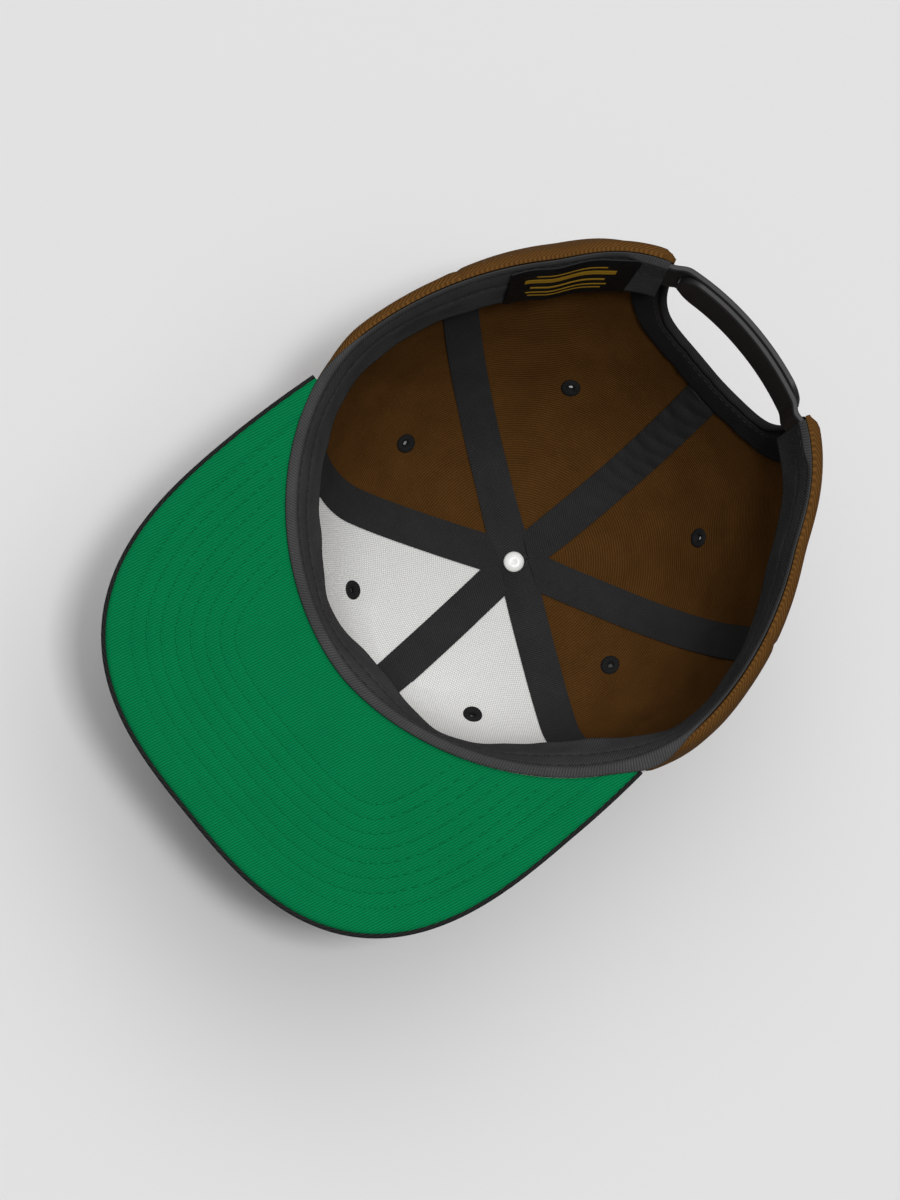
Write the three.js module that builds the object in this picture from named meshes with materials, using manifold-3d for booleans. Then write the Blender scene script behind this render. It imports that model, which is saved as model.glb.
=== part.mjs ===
// A flat-brimmed snapback cap, lying upside down on its crown.
// Millimetres, +Z up. The front is towards -Y and the wearer's right towards +X.
// The cap is drawn with its opening level and facing up, its button at the bottom of the Z axis,
// and is then tipped forwards onto the flattened front of its crown.

import * as THREE from 'three';
import { mergeVertices } from 'three/addons/utils/BufferGeometryUtils.js';
import Module from 'manifold-3d';

const wasm = await Module();
wasm.setup();

// Crown: reaches are measured from the button's axis to the rim.
const crownDepth = 118;
const frontReach = 81;
const backReach = 112;
const halfWidth = 92.3;
const sideRoundness = 1.82;
const backRoundness = 2.05;
const backFrom = 45;
const backTo = 20;
const frontBend = 1.8;
const backBend = 5;
const panelWall = 1.5;
const rimDrop = 1.5;
const apexHole = 2.6;
const cutterReach = 12;

// Rest: the crown's cloth is pressed flat where it lies.
const restTilt = 13;
const restCentreAhead = 43;

// Back opening, an arch in the two back panels.
const archCentre = 180.5;
const archHalfAngle = 19.2;
const archHeight = 55;
const archSquareness = 5.5;

// Clearance between neighbouring pieces, and between cloth laid over curved cloth.
const gap = 0.3;
const clothGap = 0.5;

// Seam tapes and the bound edge of the arch.
const tapeWidth = 14;
const tapeThickness = 0.8;
const tapeRimDrop = 9.5;
const tapeTipGap = 1;
const tapeTipWidth = 1;
const bindingWidth = 13;
const bindingThickness = 1.2;
const bindingGap = 1.1;

// Sweatband: its outer edge is folded over the rim, and it leans in towards its free edge.
const bandHeight = 30;
const bandLean = 6.5;
const bandThickness = 1.8;
const bandClearance = 0.4;
const bandFoldReach = 0.4;
const bandFoldThickness = 1.2;

// Label on the sweatband.
const labelAngle = -140;
const labelLength = 48;
const labelThickness = 0.5;
const labelMargin = 3;

// Visor, a flat crescent.
const visorReach = 153.5;
const visorHalfWidth = 92.2;
const visorWidestAhead = 55;
const visorRoundness = 2.85;
const visorSkew = 1.5;
const visorRise = 6;
const visorEndAngle = 76;
const visorHornWidth = 2.6;
const visorThickness = 4;
const visorDrop = 0.9;
const visorSeam = 0.7;
const underCloth = 1;
const lipWidth = 1.4;
const edgeRound = 1.2;

// Snap strap: two halves that overlap across the arch.
const strapWidth = 20;
const strapThickness = 2.2;
const strapDrop = 1;
const strapLean = 0.13;
const strapInset = 0.4;
const strapFlare = 2.2;
const flareShare = 0.8;
const strapTabAngle = 4.6;
const strapEndMargin = 4.5;
const strapEndRound = 9;
const strapEndShare = 0.35;
const snapCount = 7;
const snapPitch = 8.6;
const pegRadius = 2.2;
const pegRise = 0.9;
const pegClearance = 0.4;

// Eyelets, button and rivet.
const eyeletRadius = 3.4;
const eyeletHole = 0.7;
const eyeletWaist = 2.4;
const eyeletRim = 0.5;
const buttonRadius = 7.8;
const buttonDome = 14;
const buttonRise = 4.2;
const buttonEdge = 0.9;
const shankRadius = 1.5;
const rivetRadius = 4.1;
const rivetRise = 2;

// Mesh fineness.
const panelRows = 21;
const panelColumns = 8;
const archColumns = 16;
const bandColumns = 45;
const visorColumns = 36;
const strapColumns = 18;
const roundSides = 10;
const buttonSides = 20;
const rowClearance = 0.01;
const turnStep = 0.02;

// The crown's sections from the button to the rim. span is the way along a panel, height is a share
// of crownDepth, and the other columns are shares of the rim's reach in that direction.
const crownColumns = [
  'span', 'height', 'front', 'rightSide', 'rightCorner', 'back', 'leftCorner', 'leftSide',
];
const crownRows = [
  [0, 0, 0, 0, 0, 0, 0, 0],
  [0.1, 0.006, 0.2, 0.185, 0.16, 0.15, 0.16, 0.185],
  [0.21, 0.022, 0.45, 0.385, 0.33, 0.305, 0.33, 0.385],
  [0.32, 0.055, 0.69, 0.575, 0.49, 0.45, 0.49, 0.575],
  [0.42, 0.11, 0.83, 0.7, 0.61, 0.555, 0.61, 0.7],
  [0.52, 0.2, 0.905, 0.82, 0.725, 0.655, 0.725, 0.82],
  [0.62, 0.325, 0.945, 0.915, 0.84, 0.755, 0.845, 0.915],
  [0.73, 0.5, 0.965, 0.985, 0.94, 0.845, 0.96, 0.98],
  [0.84, 0.7, 0.98, 1.03, 1.015, 0.92, 1.045, 1.01],
  [0.93, 0.87, 0.99, 1.045, 1.035, 0.965, 1.07, 1.025],
  [1, 1, 1, 1, 1, 1, 1, 1],
];
const crownSections = crownRows.map((row) =>
  Object.fromEntries(row.map((value, k) => [crownColumns[k], value])));

// The angles from the front at which the columns above hold.
const crownStations = [
  { at: -180, column: 'back' },
  { at: -137, column: 'leftCorner' },
  { at: -85, column: 'leftSide' },
  { at: 0, column: 'front' },
  { at: 110, column: 'rightSide' },
  { at: 152, column: 'rightCorner' },
  { at: 180, column: 'back' },
];

// Seams by their angle from the front, positive towards the wearer's right.
const seams = { front: 5, rightFront: 65, rightRear: 117, back: 178.3, leftRear: 244.5, leftFront: 302.5 };

// The front panels' side seams run back as they near the rim, by these angles from a span outwards.
const seamSways = { rightFront: 16, leftFront: -17 };
const swayFromSpan = 0.45;

// Each panel runs from one seam to the next.
const panels = [
  { name: 'front_right', from: 'front', to: 'rightFront', cloth: 'white' },
  { name: 'side_right', from: 'rightFront', to: 'rightRear', cloth: 'brown' },
  { name: 'back_right', from: 'rightRear', to: 'back', cloth: 'brown' },
  { name: 'back_left', from: 'back', to: 'leftRear', cloth: 'brown' },
  { name: 'side_left', from: 'leftRear', to: 'leftFront', cloth: 'brown' },
  { name: 'front_left', from: 'leftFront', to: 'front', cloth: 'white' },
];

// Each eyelet's angle from the front and span.
const eyelets = {
  front_right: { degrees: 35.8, span: 0.395 },
  side_right: { degrees: 93, span: 0.33 },
  back_right: { degrees: 145.6, span: 0.495 },
  back_left: { degrees: 211.6, span: 0.475 },
  side_left: { degrees: 273.5, span: 0.4 },
  front_left: { degrees: 331.8, span: 0.412 },
};

// The sweatband's lean round the rim, as shares of bandLean.
const bandStations = [
  { at: -160, share: 1 },
  { at: -100, share: 0.6 },
  { at: -42, share: 1.05 },
  { at: -18, share: 0.72 },
  { at: 2, share: 1.37 },
  { at: 28, share: 0.35 },
  { at: 66, share: 1.54 },
  { at: 100, share: 0.12 },
  { at: 160, share: 0.85 },
];

const materials = {
  white: new THREE.MeshStandardMaterial({ color: 0xdcdcd8, roughness: 0.95, metalness: 0 }),
  brown: new THREE.MeshStandardMaterial({ color: 0x5a3a18, roughness: 0.95, metalness: 0 }),
  black: new THREE.MeshStandardMaterial({ color: 0x2b2b2c, roughness: 0.9, metalness: 0 }),
  satin: new THREE.MeshStandardMaterial({ color: 0x0c0c0d, roughness: 0.5, metalness: 0 }),
  green: new THREE.MeshStandardMaterial({ color: 0x067a48, roughness: 0.9, metalness: 0 }),
  plastic: new THREE.MeshStandardMaterial({ color: 0x242426, roughness: 0.5, metalness: 0 }),
  enamel: new THREE.MeshStandardMaterial({ color: 0xf0f0ee, roughness: 0.35, metalness: 0.1 }),
};

const radians = THREE.MathUtils.degToRad;
const lerp = THREE.MathUtils.lerp;
const tiltSin = Math.sin(radians(restTilt));
const tiltCos = Math.cos(radians(restTilt));

// The floor's height in the untipped cap, where the button's dome touches it.
const floorLevel = (buttonDome - buttonRise) * tiltCos - buttonDome;

// A smooth curve through one column of the crown's sections.
function sectionValue(column, span) {
  const last = crownSections.length - 1;
  let i = 0;
  while (i < last - 1 && span > crownSections[i + 1].span) {
    i += 1;
  }
  const slope = (a, b) => (b[column] - a[column]) / (b.span - a.span);
  const at = (k) => crownSections[k];
  const here = slope(at(i), at(i + 1));
  const tangent = (k) => (slope(at(k - 1), at(k)) + slope(at(k), at(k + 1))) / 2;
  const apexSlope = column === 'height' ? 0 : here;
  const startSlope = i === 0 ? apexSlope : tangent(i);
  const endSlope = i + 1 === last ? here : tangent(i + 1);
  const width = at(i + 1).span - at(i).span;
  const t = (span - at(i).span) / width;
  const start = (2 * t ** 3 - 3 * t ** 2 + 1) * at(i)[column];
  const startTurn = (t ** 3 - 2 * t ** 2 + t) * width * startSlope;
  const end = (3 * t ** 2 - 2 * t ** 3) * at(i + 1)[column];
  const endTurn = (t ** 3 - t ** 2) * width * endSlope;
  return start + startTurn + end + endTurn;
}

// The rim's reach from the button's axis, at an angle from the front. It is flatter across the back.
function rimReach(angle) {
  const ahead = Math.cos(angle);
  const flat = THREE.MathUtils.smoothstep(-ahead, Math.cos(radians(backFrom)), Math.cos(radians(backTo)));
  const roundness = lerp(sideRoundness, backRoundness, flat);
  const reach = ahead > 0 ? frontReach : backReach;
  const across = Math.abs(Math.sin(angle) / halfWidth) ** roundness;
  return (across + Math.abs(ahead / reach) ** roundness) ** (-1 / roundness);
}

// A place at a reach and an angle from the button's axis, with the bend of the rim: its front and
// back ends lie a little towards the wearer's left.
function bentPlace(angle, reach, height) {
  const y = -reach * Math.cos(angle);
  const bend = y < 0 ? frontBend * (y / frontReach) ** 2 : backBend * (y / backReach) ** 2;
  return new THREE.Vector3(reach * Math.sin(angle) - bend, y, height);
}

// An angle in degrees as a bearing from -180 to 180.
const toBearing = (degrees) => THREE.MathUtils.euclideanModulo(degrees + 180, 360) - 180;

// A value blended round the cap from station to station.
function blendStations(stations, bearing, valueOf) {
  const last = stations.length - 2;
  const k = Math.min(last, Math.max(0, stations.findLastIndex((station) => station.at <= bearing)));
  const blend = THREE.MathUtils.smoothstep(bearing, stations[k].at, stations[k + 1].at);
  return lerp(valueOf(stations[k]), valueOf(stations[k + 1]), blend);
}

// The crown's share of the rim's reach.
function crownShare(angle, span) {
  const bearing = toBearing(THREE.MathUtils.radToDeg(angle));
  return blendStations(crownStations, bearing, (station) => sectionValue(station.column, span));
}

// A seam's angle in degrees at a span.
function seamAngle(seam, span) {
  const sway = (seamSways[seam] ?? 0) * THREE.MathUtils.smoothstep(span, swayFromSpan, 1);
  return seams[seam] + sway;
}

// The crown's outer surface. Its place is given on a disc whose centre is the button and whose
// edge is the rim: right and ahead are that disc's two coordinates.
function crownOuter(right, ahead) {
  const span = Math.hypot(right, ahead);
  const angle = Math.atan2(right, ahead);
  const reach = rimReach(angle) * crownShare(angle, span);
  const point = bentPlace(angle, reach, crownDepth * sectionValue('height', span));
  const above = point.y * tiltSin + point.z * tiltCos - floorLevel;
  if (above < 0) {
    point.y -= above * tiltSin;
    point.z -= above * tiltCos;
  }
  return point;
}

// The two directions of the disc as they lie on the crown, and the normal that points into the cap.
function crownFrame(right, ahead) {
  const step = 0.006;
  const along = (dr, da) =>
    crownOuter(right + dr, ahead + da).sub(crownOuter(right - dr, ahead - da)).divideScalar(2 * step);
  const toRight = along(step, 0);
  const toFront = along(0, step);
  const inward = new THREE.Vector3().crossVectors(toFront, toRight).normalize();
  return { toRight, toFront, inward };
}

function crownPoint(right, ahead, depth) {
  return crownOuter(right, ahead).addScaledVector(crownFrame(right, ahead).inward, depth);
}

// Disc coordinates after a move over the crown, along a direction, by a distance in millimetres.
function crownMove(right, ahead, direction, distance) {
  const { toRight, toFront } = crownFrame(right, ahead);
  const rr = toRight.dot(toRight);
  const rf = toRight.dot(toFront);
  const ff = toFront.dot(toFront);
  const dr = toRight.dot(direction) * distance;
  const df = toFront.dot(direction) * distance;
  const determinant = rr * ff - rf * rf;
  return [right + (dr * ff - df * rf) / determinant, ahead + (df * rr - dr * rf) / determinant];
}

// Disc coordinates beside a line from the button: aside is in millimetres, to the right of the line.
function besideLine(angle, span, aside) {
  const perMillimetre = span / (rimReach(angle) * crownShare(angle, span));
  const shift = aside * perMillimetre;
  return [
    span * Math.sin(angle) + shift * Math.cos(angle),
    span * Math.cos(angle) - shift * Math.sin(angle),
  ];
}

// The share between 0 and 1 at which a growing measure reaches its goal.
function shareWhere(measure, goal) {
  let low = 0;
  let high = 1;
  for (let i = 0; i < 40; i += 1) {
    const middle = (low + high) / 2;
    if (measure(middle) < goal) {
      low = middle;
    } else {
      high = middle;
    }
  }
  return (low + high) / 2;
}

function spanAtDrop(drop) {
  return shareWhere((span) => sectionValue('height', span) * crownDepth, crownDepth - drop);
}

function spanAtReach(angle, reach) {
  return shareWhere((span) => rimReach(angle) * crownShare(angle, span), reach);
}

// The arch's edge from the wearer's right leg at turn 0, over the top, to the left leg at PI.
// It gives the angle from the front in degrees and the drop below the rim.
function archEdge(turn) {
  const across = Math.abs(Math.cos(turn)) ** archSquareness;
  const up = Math.abs(Math.sin(turn)) ** archSquareness;
  const scale = (across + up) ** (-1 / archSquareness);
  return {
    degrees: archCentre - archHalfAngle * scale * Math.cos(turn),
    drop: archHeight * scale * Math.sin(turn),
  };
}

// A closed body between two faces of a grid, turned so that its faces point out.
// pointAt(column, row, face) takes whole numbers, with face 0 or 1.
function slab(columns, rows, pointAt) {
  const positions = [];
  const index = [];
  const width = columns + 1;
  const at = (i, j, face) => face * width * (rows + 1) + j * width + i;
  for (const face of [0, 1]) {
    for (let j = 0; j <= rows; j += 1) {
      for (let i = 0; i <= columns; i += 1) {
        positions.push(...pointAt(i, j, face).toArray());
      }
    }
  }
  const quad = (a, b, c, d) => index.push(a, b, c, a, c, d);
  for (let j = 0; j < rows; j += 1) {
    for (let i = 0; i < columns; i += 1) {
      quad(at(i, j, 0), at(i + 1, j, 0), at(i + 1, j + 1, 0), at(i, j + 1, 0));
      quad(at(i, j, 1), at(i, j + 1, 1), at(i + 1, j + 1, 1), at(i + 1, j, 1));
    }
  }
  for (let i = 0; i < columns; i += 1) {
    quad(at(i, 0, 0), at(i, 0, 1), at(i + 1, 0, 1), at(i + 1, 0, 0));
    quad(at(i, rows, 0), at(i + 1, rows, 0), at(i + 1, rows, 1), at(i, rows, 1));
  }
  for (let j = 0; j < rows; j += 1) {
    quad(at(0, j, 0), at(0, j + 1, 0), at(0, j + 1, 1), at(0, j, 1));
    quad(at(columns, j, 0), at(columns, j, 1), at(columns, j + 1, 1), at(columns, j + 1, 0));
  }
  return facingOut(positions, index);
}

// A closed body swept through stations, each a ring of the same number of points.
function sweep(rings) {
  const sides = rings[0].length;
  const positions = rings.flat().flatMap((point) => point.toArray());
  const index = [];
  for (let j = 0; j + 1 < rings.length; j += 1) {
    for (let i = 0; i < sides; i += 1) {
      const next = (i + 1) % sides;
      const a = j * sides + i;
      const b = j * sides + next;
      index.push(a, b, b + sides, a, b + sides, a + sides);
    }
  }
  const last = (rings.length - 1) * sides;
  const flat = THREE.ShapeUtils.triangulateShape(flatRing(rings[0]), []);
  const flatEnd = THREE.ShapeUtils.triangulateShape(flatRing(rings[rings.length - 1]), []);
  flat.forEach(([a, b, c]) => index.push(c, b, a));
  flatEnd.forEach(([a, b, c]) => index.push(last + a, last + b, last + c));
  return facingOut(positions, index);
}

// A ring of points seen along its own normal, as 2D points that run anticlockwise.
function flatRing(ring) {
  const normal = new THREE.Vector3();
  ring.forEach((point, i) => {
    const next = ring[(i + 1) % ring.length];
    normal.add(new THREE.Vector3().crossVectors(point, next));
  });
  normal.normalize();
  const helper = Math.abs(normal.z) < 0.9 ? new THREE.Vector3(0, 0, 1) : new THREE.Vector3(1, 0, 0);
  const u = new THREE.Vector3().crossVectors(helper, normal).normalize();
  const v = new THREE.Vector3().crossVectors(normal, u);
  return ring.map((point) => new THREE.Vector2(point.dot(u), point.dot(v)));
}

function facingOut(positions, index) {
  let volume = 0;
  const corner = (k) => new THREE.Vector3().fromArray(positions, 3 * k);
  for (let i = 0; i < index.length; i += 3) {
    volume += corner(index[i]).dot(corner(index[i + 1]).cross(corner(index[i + 2])));
  }
  const outward = volume > 0 ? index : index.slice().reverse();
  const geometry = new THREE.BufferGeometry();
  geometry.setAttribute('position', new THREE.Float32BufferAttribute(positions, 3));
  geometry.setIndex(outward);
  return geometry;
}

function toSolid(geometry) {
  const bare = geometry.clone();
  bare.deleteAttribute('normal');
  bare.deleteAttribute('uv');
  const merged = mergeVertices(bare, 1e-4);
  const mesh = new wasm.Mesh({
    numProp: 3,
    vertProperties: new Float32Array(merged.attributes.position.array),
    triVerts: new Uint32Array(merged.index.array),
  });
  return new wasm.Manifold(mesh);
}

function toGeometry(solid) {
  const mesh = solid.getMesh();
  const geometry = new THREE.BufferGeometry();
  geometry.setAttribute('position', new THREE.BufferAttribute(mesh.vertProperties, 3));
  geometry.setIndex(new THREE.BufferAttribute(mesh.triVerts, 1));
  return geometry;
}

// A round body of revolution about Z, from a closed outline of [radius, height] pairs.
function turned(outline, sides) {
  const points = outline.map(([radius, height]) => new THREE.Vector2(radius, height));
  return new THREE.LatheGeometry(points, sides).rotateX(Math.PI / 2);
}

// Moves a body made about Z so that its Z axis lies along a direction at a place.
function placed(geometry, place, direction) {
  const turn = new THREE.Quaternion().setFromUnitVectors(new THREE.Vector3(0, 0, 1), direction);
  return geometry.applyQuaternion(turn).translate(place.x, place.y, place.z);
}

function rod(radius, low, high, sides) {
  const body = new THREE.CylinderGeometry(radius, radius, high - low, sides);
  return body.rotateX(Math.PI / 2).translate(0, 0, (low + high) / 2);
}

// The mesh rows of a panel, as spans from the button to the edge. The angle decides where they start.
function rowSpans(degrees) {
  const from = spanAtReach(radians(degrees), apexHole);
  const to = spanAtDrop(rimDrop);
  return Array.from({ length: panelRows + 1 }, (_, j) => lerp(from, to, j / panelRows));
}

// The turns of the arch's edge below the strap.
const strapFoot = strapDrop + strapWidth + 2 * gap;
const firstTurn = shareWhere((share) => archEdge((share * Math.PI) / 2).drop, strapFoot) * (Math.PI / 2);
const archTurns = Array.from({ length: archColumns + 1 }, (_, k) =>
  lerp(firstTurn, Math.PI - firstTurn, k / archColumns));

// The disc coordinates of the arch's edge.
function archPlace(turn) {
  const { degrees, drop } = archEdge(turn);
  const span = spanAtDrop(drop);
  return [span * Math.sin(radians(degrees)), span * Math.cos(radians(degrees))];
}

// The body that cuts the arch out of the crown.
function archCutter() {
  const above = new THREE.Vector3(0, 0, cutterReach);
  const rings = [-cutterReach, cutterReach].map((depth) => {
    const points = [0, ...archTurns, Math.PI].map((turn) => crownPoint(...archPlace(turn), depth));
    return [points[0].clone().add(above), ...points, points[points.length - 1].clone().add(above)];
  });
  return sweep(rings);
}

function eyeletPlace(panel) {
  const { degrees, span } = eyelets[panel.name];
  const right = span * Math.sin(radians(degrees));
  const ahead = span * Math.cos(radians(degrees));
  return { place: crownOuter(right, ahead), inward: crownFrame(right, ahead).inward };
}

function panelGeometry(panel) {
  const onceRound = seams[panel.to] < seams[panel.from] ? 360 : 0;
  const start = (i) => lerp(seams[panel.from], seams[panel.to] + onceRound, i / panelColumns);
  const body = slab(panelColumns, panelRows, (i, j, face) => {
    const aside = i === 0 ? gap / 2 : i === panelColumns ? -gap / 2 : 0;
    const span = rowSpans(start(i))[j];
    const side = seamAngle(panel.from, span);
    const degrees = lerp(side, seamAngle(panel.to, span) + onceRound, i / panelColumns);
    const [right, ahead] = besideLine(radians(degrees), span, aside);
    return crownPoint(right, ahead, face * panelWall);
  });
  const { place, inward } = eyeletPlace(panel);
  const cuts = [
    rod(eyeletWaist + gap, -eyeletRadius, eyeletRadius, roundSides),
    rod(eyeletRadius + gap, -eyeletRadius, 0, roundSides),
    rod(eyeletRadius + gap, panelWall, panelWall + eyeletRadius, roundSides),
  ].map((cut) => placed(cut, place, inward));
  if (panel.from === 'back' || panel.to === 'back') {
    cuts.push(archCutter());
  }
  return toGeometry(cuts.reduce((solid, cut) => solid.subtract(toSolid(cut)), toSolid(body)));
}

// An eyelet is a stitched ring that grips the panel on both sides, where the cloth is pressed flat.
function eyeletGeometry(panel) {
  const outside = -gap;
  const inside = panelWall + gap;
  const outline = [
    [eyeletHole, outside - eyeletRim],
    [eyeletRadius, outside - eyeletRim],
    [eyeletRadius, outside],
    [eyeletWaist, outside],
    [eyeletWaist, inside],
    [eyeletRadius, inside],
    [eyeletRadius, inside + eyeletRim],
    [eyeletHole, inside + eyeletRim],
    [eyeletHole, outside - eyeletRim],
  ];
  const { place, inward } = eyeletPlace(panel);
  return placed(turned(outline, roundSides), place, inward);
}

// The seam tapes lie on the panels. The long one runs from rim to rim over the button.
const tapeInset = panelWall + clothGap;
const halfTape = tapeWidth / 2;

function longTapeGeometry() {
  const end = spanAtDrop(tapeRimDrop);
  const stations = (seam, turn) => {
    const spans = rowSpans(seams[seam]).filter((span) => span < end).concat(end);
    return spans.map((span) => ({ angle: radians(seamAngle(seam, span)), span, turn }));
  };
  const path = [...stations('leftRear', -1).reverse(), ...stations('rightFront', 1)];
  const body = slab(2, path.length - 1, (i, j, face) => {
    const { angle, span, turn } = path[j];
    const [right, ahead] = besideLine(angle, span, turn * (i - 1) * halfTape);
    return crownPoint(right, ahead, tapeInset + face * tapeThickness);
  });
  const hole = rod(shankRadius + gap, 0, 2 * tapeInset + tapeThickness, roundSides);
  return toGeometry(toSolid(body).subtract(toSolid(hole)));
}

// A tape from the long tape's edge to the rim or the bound arch. Its pointed end lies between the
// long tape and the other tape on the same side.
function sideTapeGeometry(seam, longSeam, nextSeam, end) {
  const toLong = toBearing(seams[longSeam] - seams[seam]);
  const toNext = toBearing(seams[nextSeam] - seams[seam]);
  const apart = radians(Math.abs(toLong));
  const longLimit = (reach) => (reach * Math.sin(apart) - halfTape - tapeTipGap) / Math.cos(apart);
  const nextLimit = (reach) => reach * Math.tan(radians(Math.abs(toNext) / 2)) - gap;
  const start = radians(seams[seam]);
  const wide = (reach) => ({
    long: Math.min(halfTape, longLimit(reach)),
    next: Math.min(halfTape, nextLimit(reach)),
  });
  const widthAt = (reach) => wide(reach).long + wide(reach).next;
  const tip = tapeWidth * shareWhere((share) => widthAt(tapeWidth * share), tapeTipWidth);
  const full = spanAtReach(start, tapeWidth / Math.sin(apart));
  const from = spanAtReach(start, tip);
  const apartRows = (span) => span > full + rowClearance && span < end - rowClearance;
  const spans = [from, (from + full) / 2, full, ...rowSpans(seams[seam]).filter(apartRows), end];
  return slab(2, spans.length - 1, (i, j, face) => {
    const angle = radians(seamAngle(seam, spans[j]));
    const { long, next } = wide(rimReach(angle) * crownShare(angle, spans[j]));
    const low = toLong < 0 ? -long : -next;
    const high = toLong < 0 ? next : long;
    const [right, ahead] = besideLine(angle, spans[j], [low, (low + high) / 2, high][i]);
    return crownPoint(right, ahead, tapeInset + face * tapeThickness);
  });
}

function tapeGeometries() {
  const rimEnd = spanAtDrop(tapeRimDrop);
  const archEnd = spanAtDrop(archHeight + bindingWidth + clothGap);
  return {
    tape_front: sideTapeGeometry('front', 'rightFront', 'leftFront', rimEnd),
    tape_left_front: sideTapeGeometry('leftFront', 'leftRear', 'front', rimEnd),
    tape_right_rear: sideTapeGeometry('rightRear', 'rightFront', 'back', rimEnd),
    tape_back: sideTapeGeometry('back', 'leftRear', 'rightRear', archEnd),
  };
}

// The bound edge of the arch: a strip on the inside of the crown, folded over the cut edge.
function bindingGeometry() {
  const inner = panelWall + bindingGap;
  const rings = archTurns.map((turn) => {
    const [right, ahead] = archPlace(turn);
    const along = crownOuter(...archPlace(turn + turnStep)).sub(crownOuter(...archPlace(turn - turnStep)));
    const { inward } = crownFrame(right, ahead);
    const fromEdge = new THREE.Vector3().crossVectors(inward, along).normalize();
    const at = (distance, depth) => crownPoint(...crownMove(right, ahead, fromEdge, distance), depth);
    return [
      at(-clothGap - bindingThickness, 0),
      at(-clothGap, 0),
      at(-clothGap, inner),
      at(bindingWidth / 2, inner),
      at(bindingWidth, inner),
      at(bindingWidth, inner + bindingThickness),
      at(bindingWidth / 2, inner + bindingThickness),
      at(-clothGap - bindingThickness, inner + bindingThickness),
    ];
  });
  return sweep(rings);
}

// A point inside the rim: inset from the rim's outline and drop below the rim, in millimetres.
function rimPoint(degrees, inset, drop) {
  const angle = radians(degrees);
  return bentPlace(angle, rimReach(angle) - inset, crownDepth - drop);
}

const bandRoot = panelWall + bandClearance;
const leanAt = (degrees) => bandLean * blendStations(bandStations, toBearing(degrees), ({ share }) => share);
const bandFace = (degrees, drop) => bandRoot + bandThickness + (leanAt(degrees) * drop) / bandHeight;
const bandFrom = archCentre + archHalfAngle + strapTabAngle - 360;
const bandTo = archCentre - archHalfAngle - strapTabAngle;

function sweatbandGeometry() {
  const rings = [];
  for (let k = 0; k <= bandColumns; k += 1) {
    const degrees = lerp(bandFrom, bandTo, k / bandColumns);
    rings.push([
      rimPoint(degrees, -bandFoldReach, 0),
      rimPoint(degrees, -bandFoldReach, bandFoldThickness),
      rimPoint(degrees, bandRoot, bandFoldThickness),
      rimPoint(degrees, bandRoot + leanAt(degrees), bandHeight),
      rimPoint(degrees, bandFace(degrees, bandHeight), bandHeight),
      rimPoint(degrees, bandFace(degrees, 0), 0),
    ]);
  }
  return sweep(rings);
}

function labelGeometry() {
  const span = THREE.MathUtils.radToDeg(labelLength / rimReach(radians(labelAngle)));
  const columns = 8;
  return slab(columns, 1, (i, j, face) => {
    const degrees = labelAngle + span * (i / columns - 0.5);
    const drop = lerp(labelMargin, bandHeight - labelMargin, j);
    return rimPoint(degrees, bandFace(degrees, drop) + clothGap + face * labelThickness, drop);
  });
}

// The visor's outer outline, from the left horn at -1 to the right horn at 1. Each horn ends beside
// the end of the seam.
function visorOutline(q) {
  const roundPart = 0.8;
  const length = visorReach - visorWidestAhead;
  if (Math.abs(q) <= roundPart) {
    const turn = (q / roundPart) * (Math.PI / 2);
    const power = 2 / visorRoundness;
    const x = Math.sign(turn) * visorHalfWidth * Math.abs(Math.sin(turn)) ** power;
    const ahead = Math.cos(turn) ** power;
    return new THREE.Vector2(x + visorSkew * ahead, -visorWidestAhead - length * ahead);
  }
  const side = Math.sign(q);
  const seamEnd = rimPoint(side * visorEndAngle, -visorSeam, 0);
  const t = (Math.abs(q) - roundPart) / (1 - roundPart);
  const x = lerp(side * visorHalfWidth, seamEnd.x + side * visorHornWidth, t ** 2);
  return new THREE.Vector2(x, lerp(-visorWidestAhead, seamEnd.y, t));
}

function visorInset(q, inset) {
  const step = 0.004;
  const before = visorOutline(Math.max(-1, q - step));
  const after = visorOutline(Math.min(1, q + step));
  const along = after.clone().sub(before).normalize();
  return visorOutline(q).add(new THREE.Vector2(-along.y, along.x).multiplyScalar(inset));
}

// The visor's seam runs just outside the crown's cloth, at a drop below the rim.
function visorSeamPoint(degrees, drop) {
  const angle = radians(degrees);
  const span = spanAtDrop(drop);
  const point = crownOuter(span * Math.sin(angle), span * Math.cos(angle));
  const reach = Math.hypot(point.x, point.y);
  return new THREE.Vector3(point.x * (1 + visorSeam / reach), point.y * (1 + visorSeam / reach), point.z);
}

// The visor rises towards its tip and its sides, so that its seam with the rim stays level.
function visorLift(x, y) {
  const seamEnd = rimPoint(visorEndAngle, -visorSeam, 0);
  const slope = Math.tan(radians(visorRise));
  const sideLift = (slope * (frontReach + seamEnd.y)) / seamEnd.x ** 2;
  return -slope * (y + frontReach) + sideLift * x * x;
}

function visorRings(section) {
  const rings = [];
  for (let k = 0; k <= visorColumns; k += 1) {
    const q = (2 * k) / visorColumns - 1;
    const inner = rimPoint(q * visorEndAngle, -visorSeam, 0);
    rings.push(section.map(([inset, drop]) => {
      if (inset === null) {
        return visorSeamPoint(q * visorEndAngle, drop);
      }
      const flat = visorInset(q, inset);
      const lift = visorLift(flat.x, flat.y) - visorLift(inner.x, inner.y);
      return new THREE.Vector3(flat.x, flat.y, crownDepth - drop + lift);
    }));
  }
  return rings;
}

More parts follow.
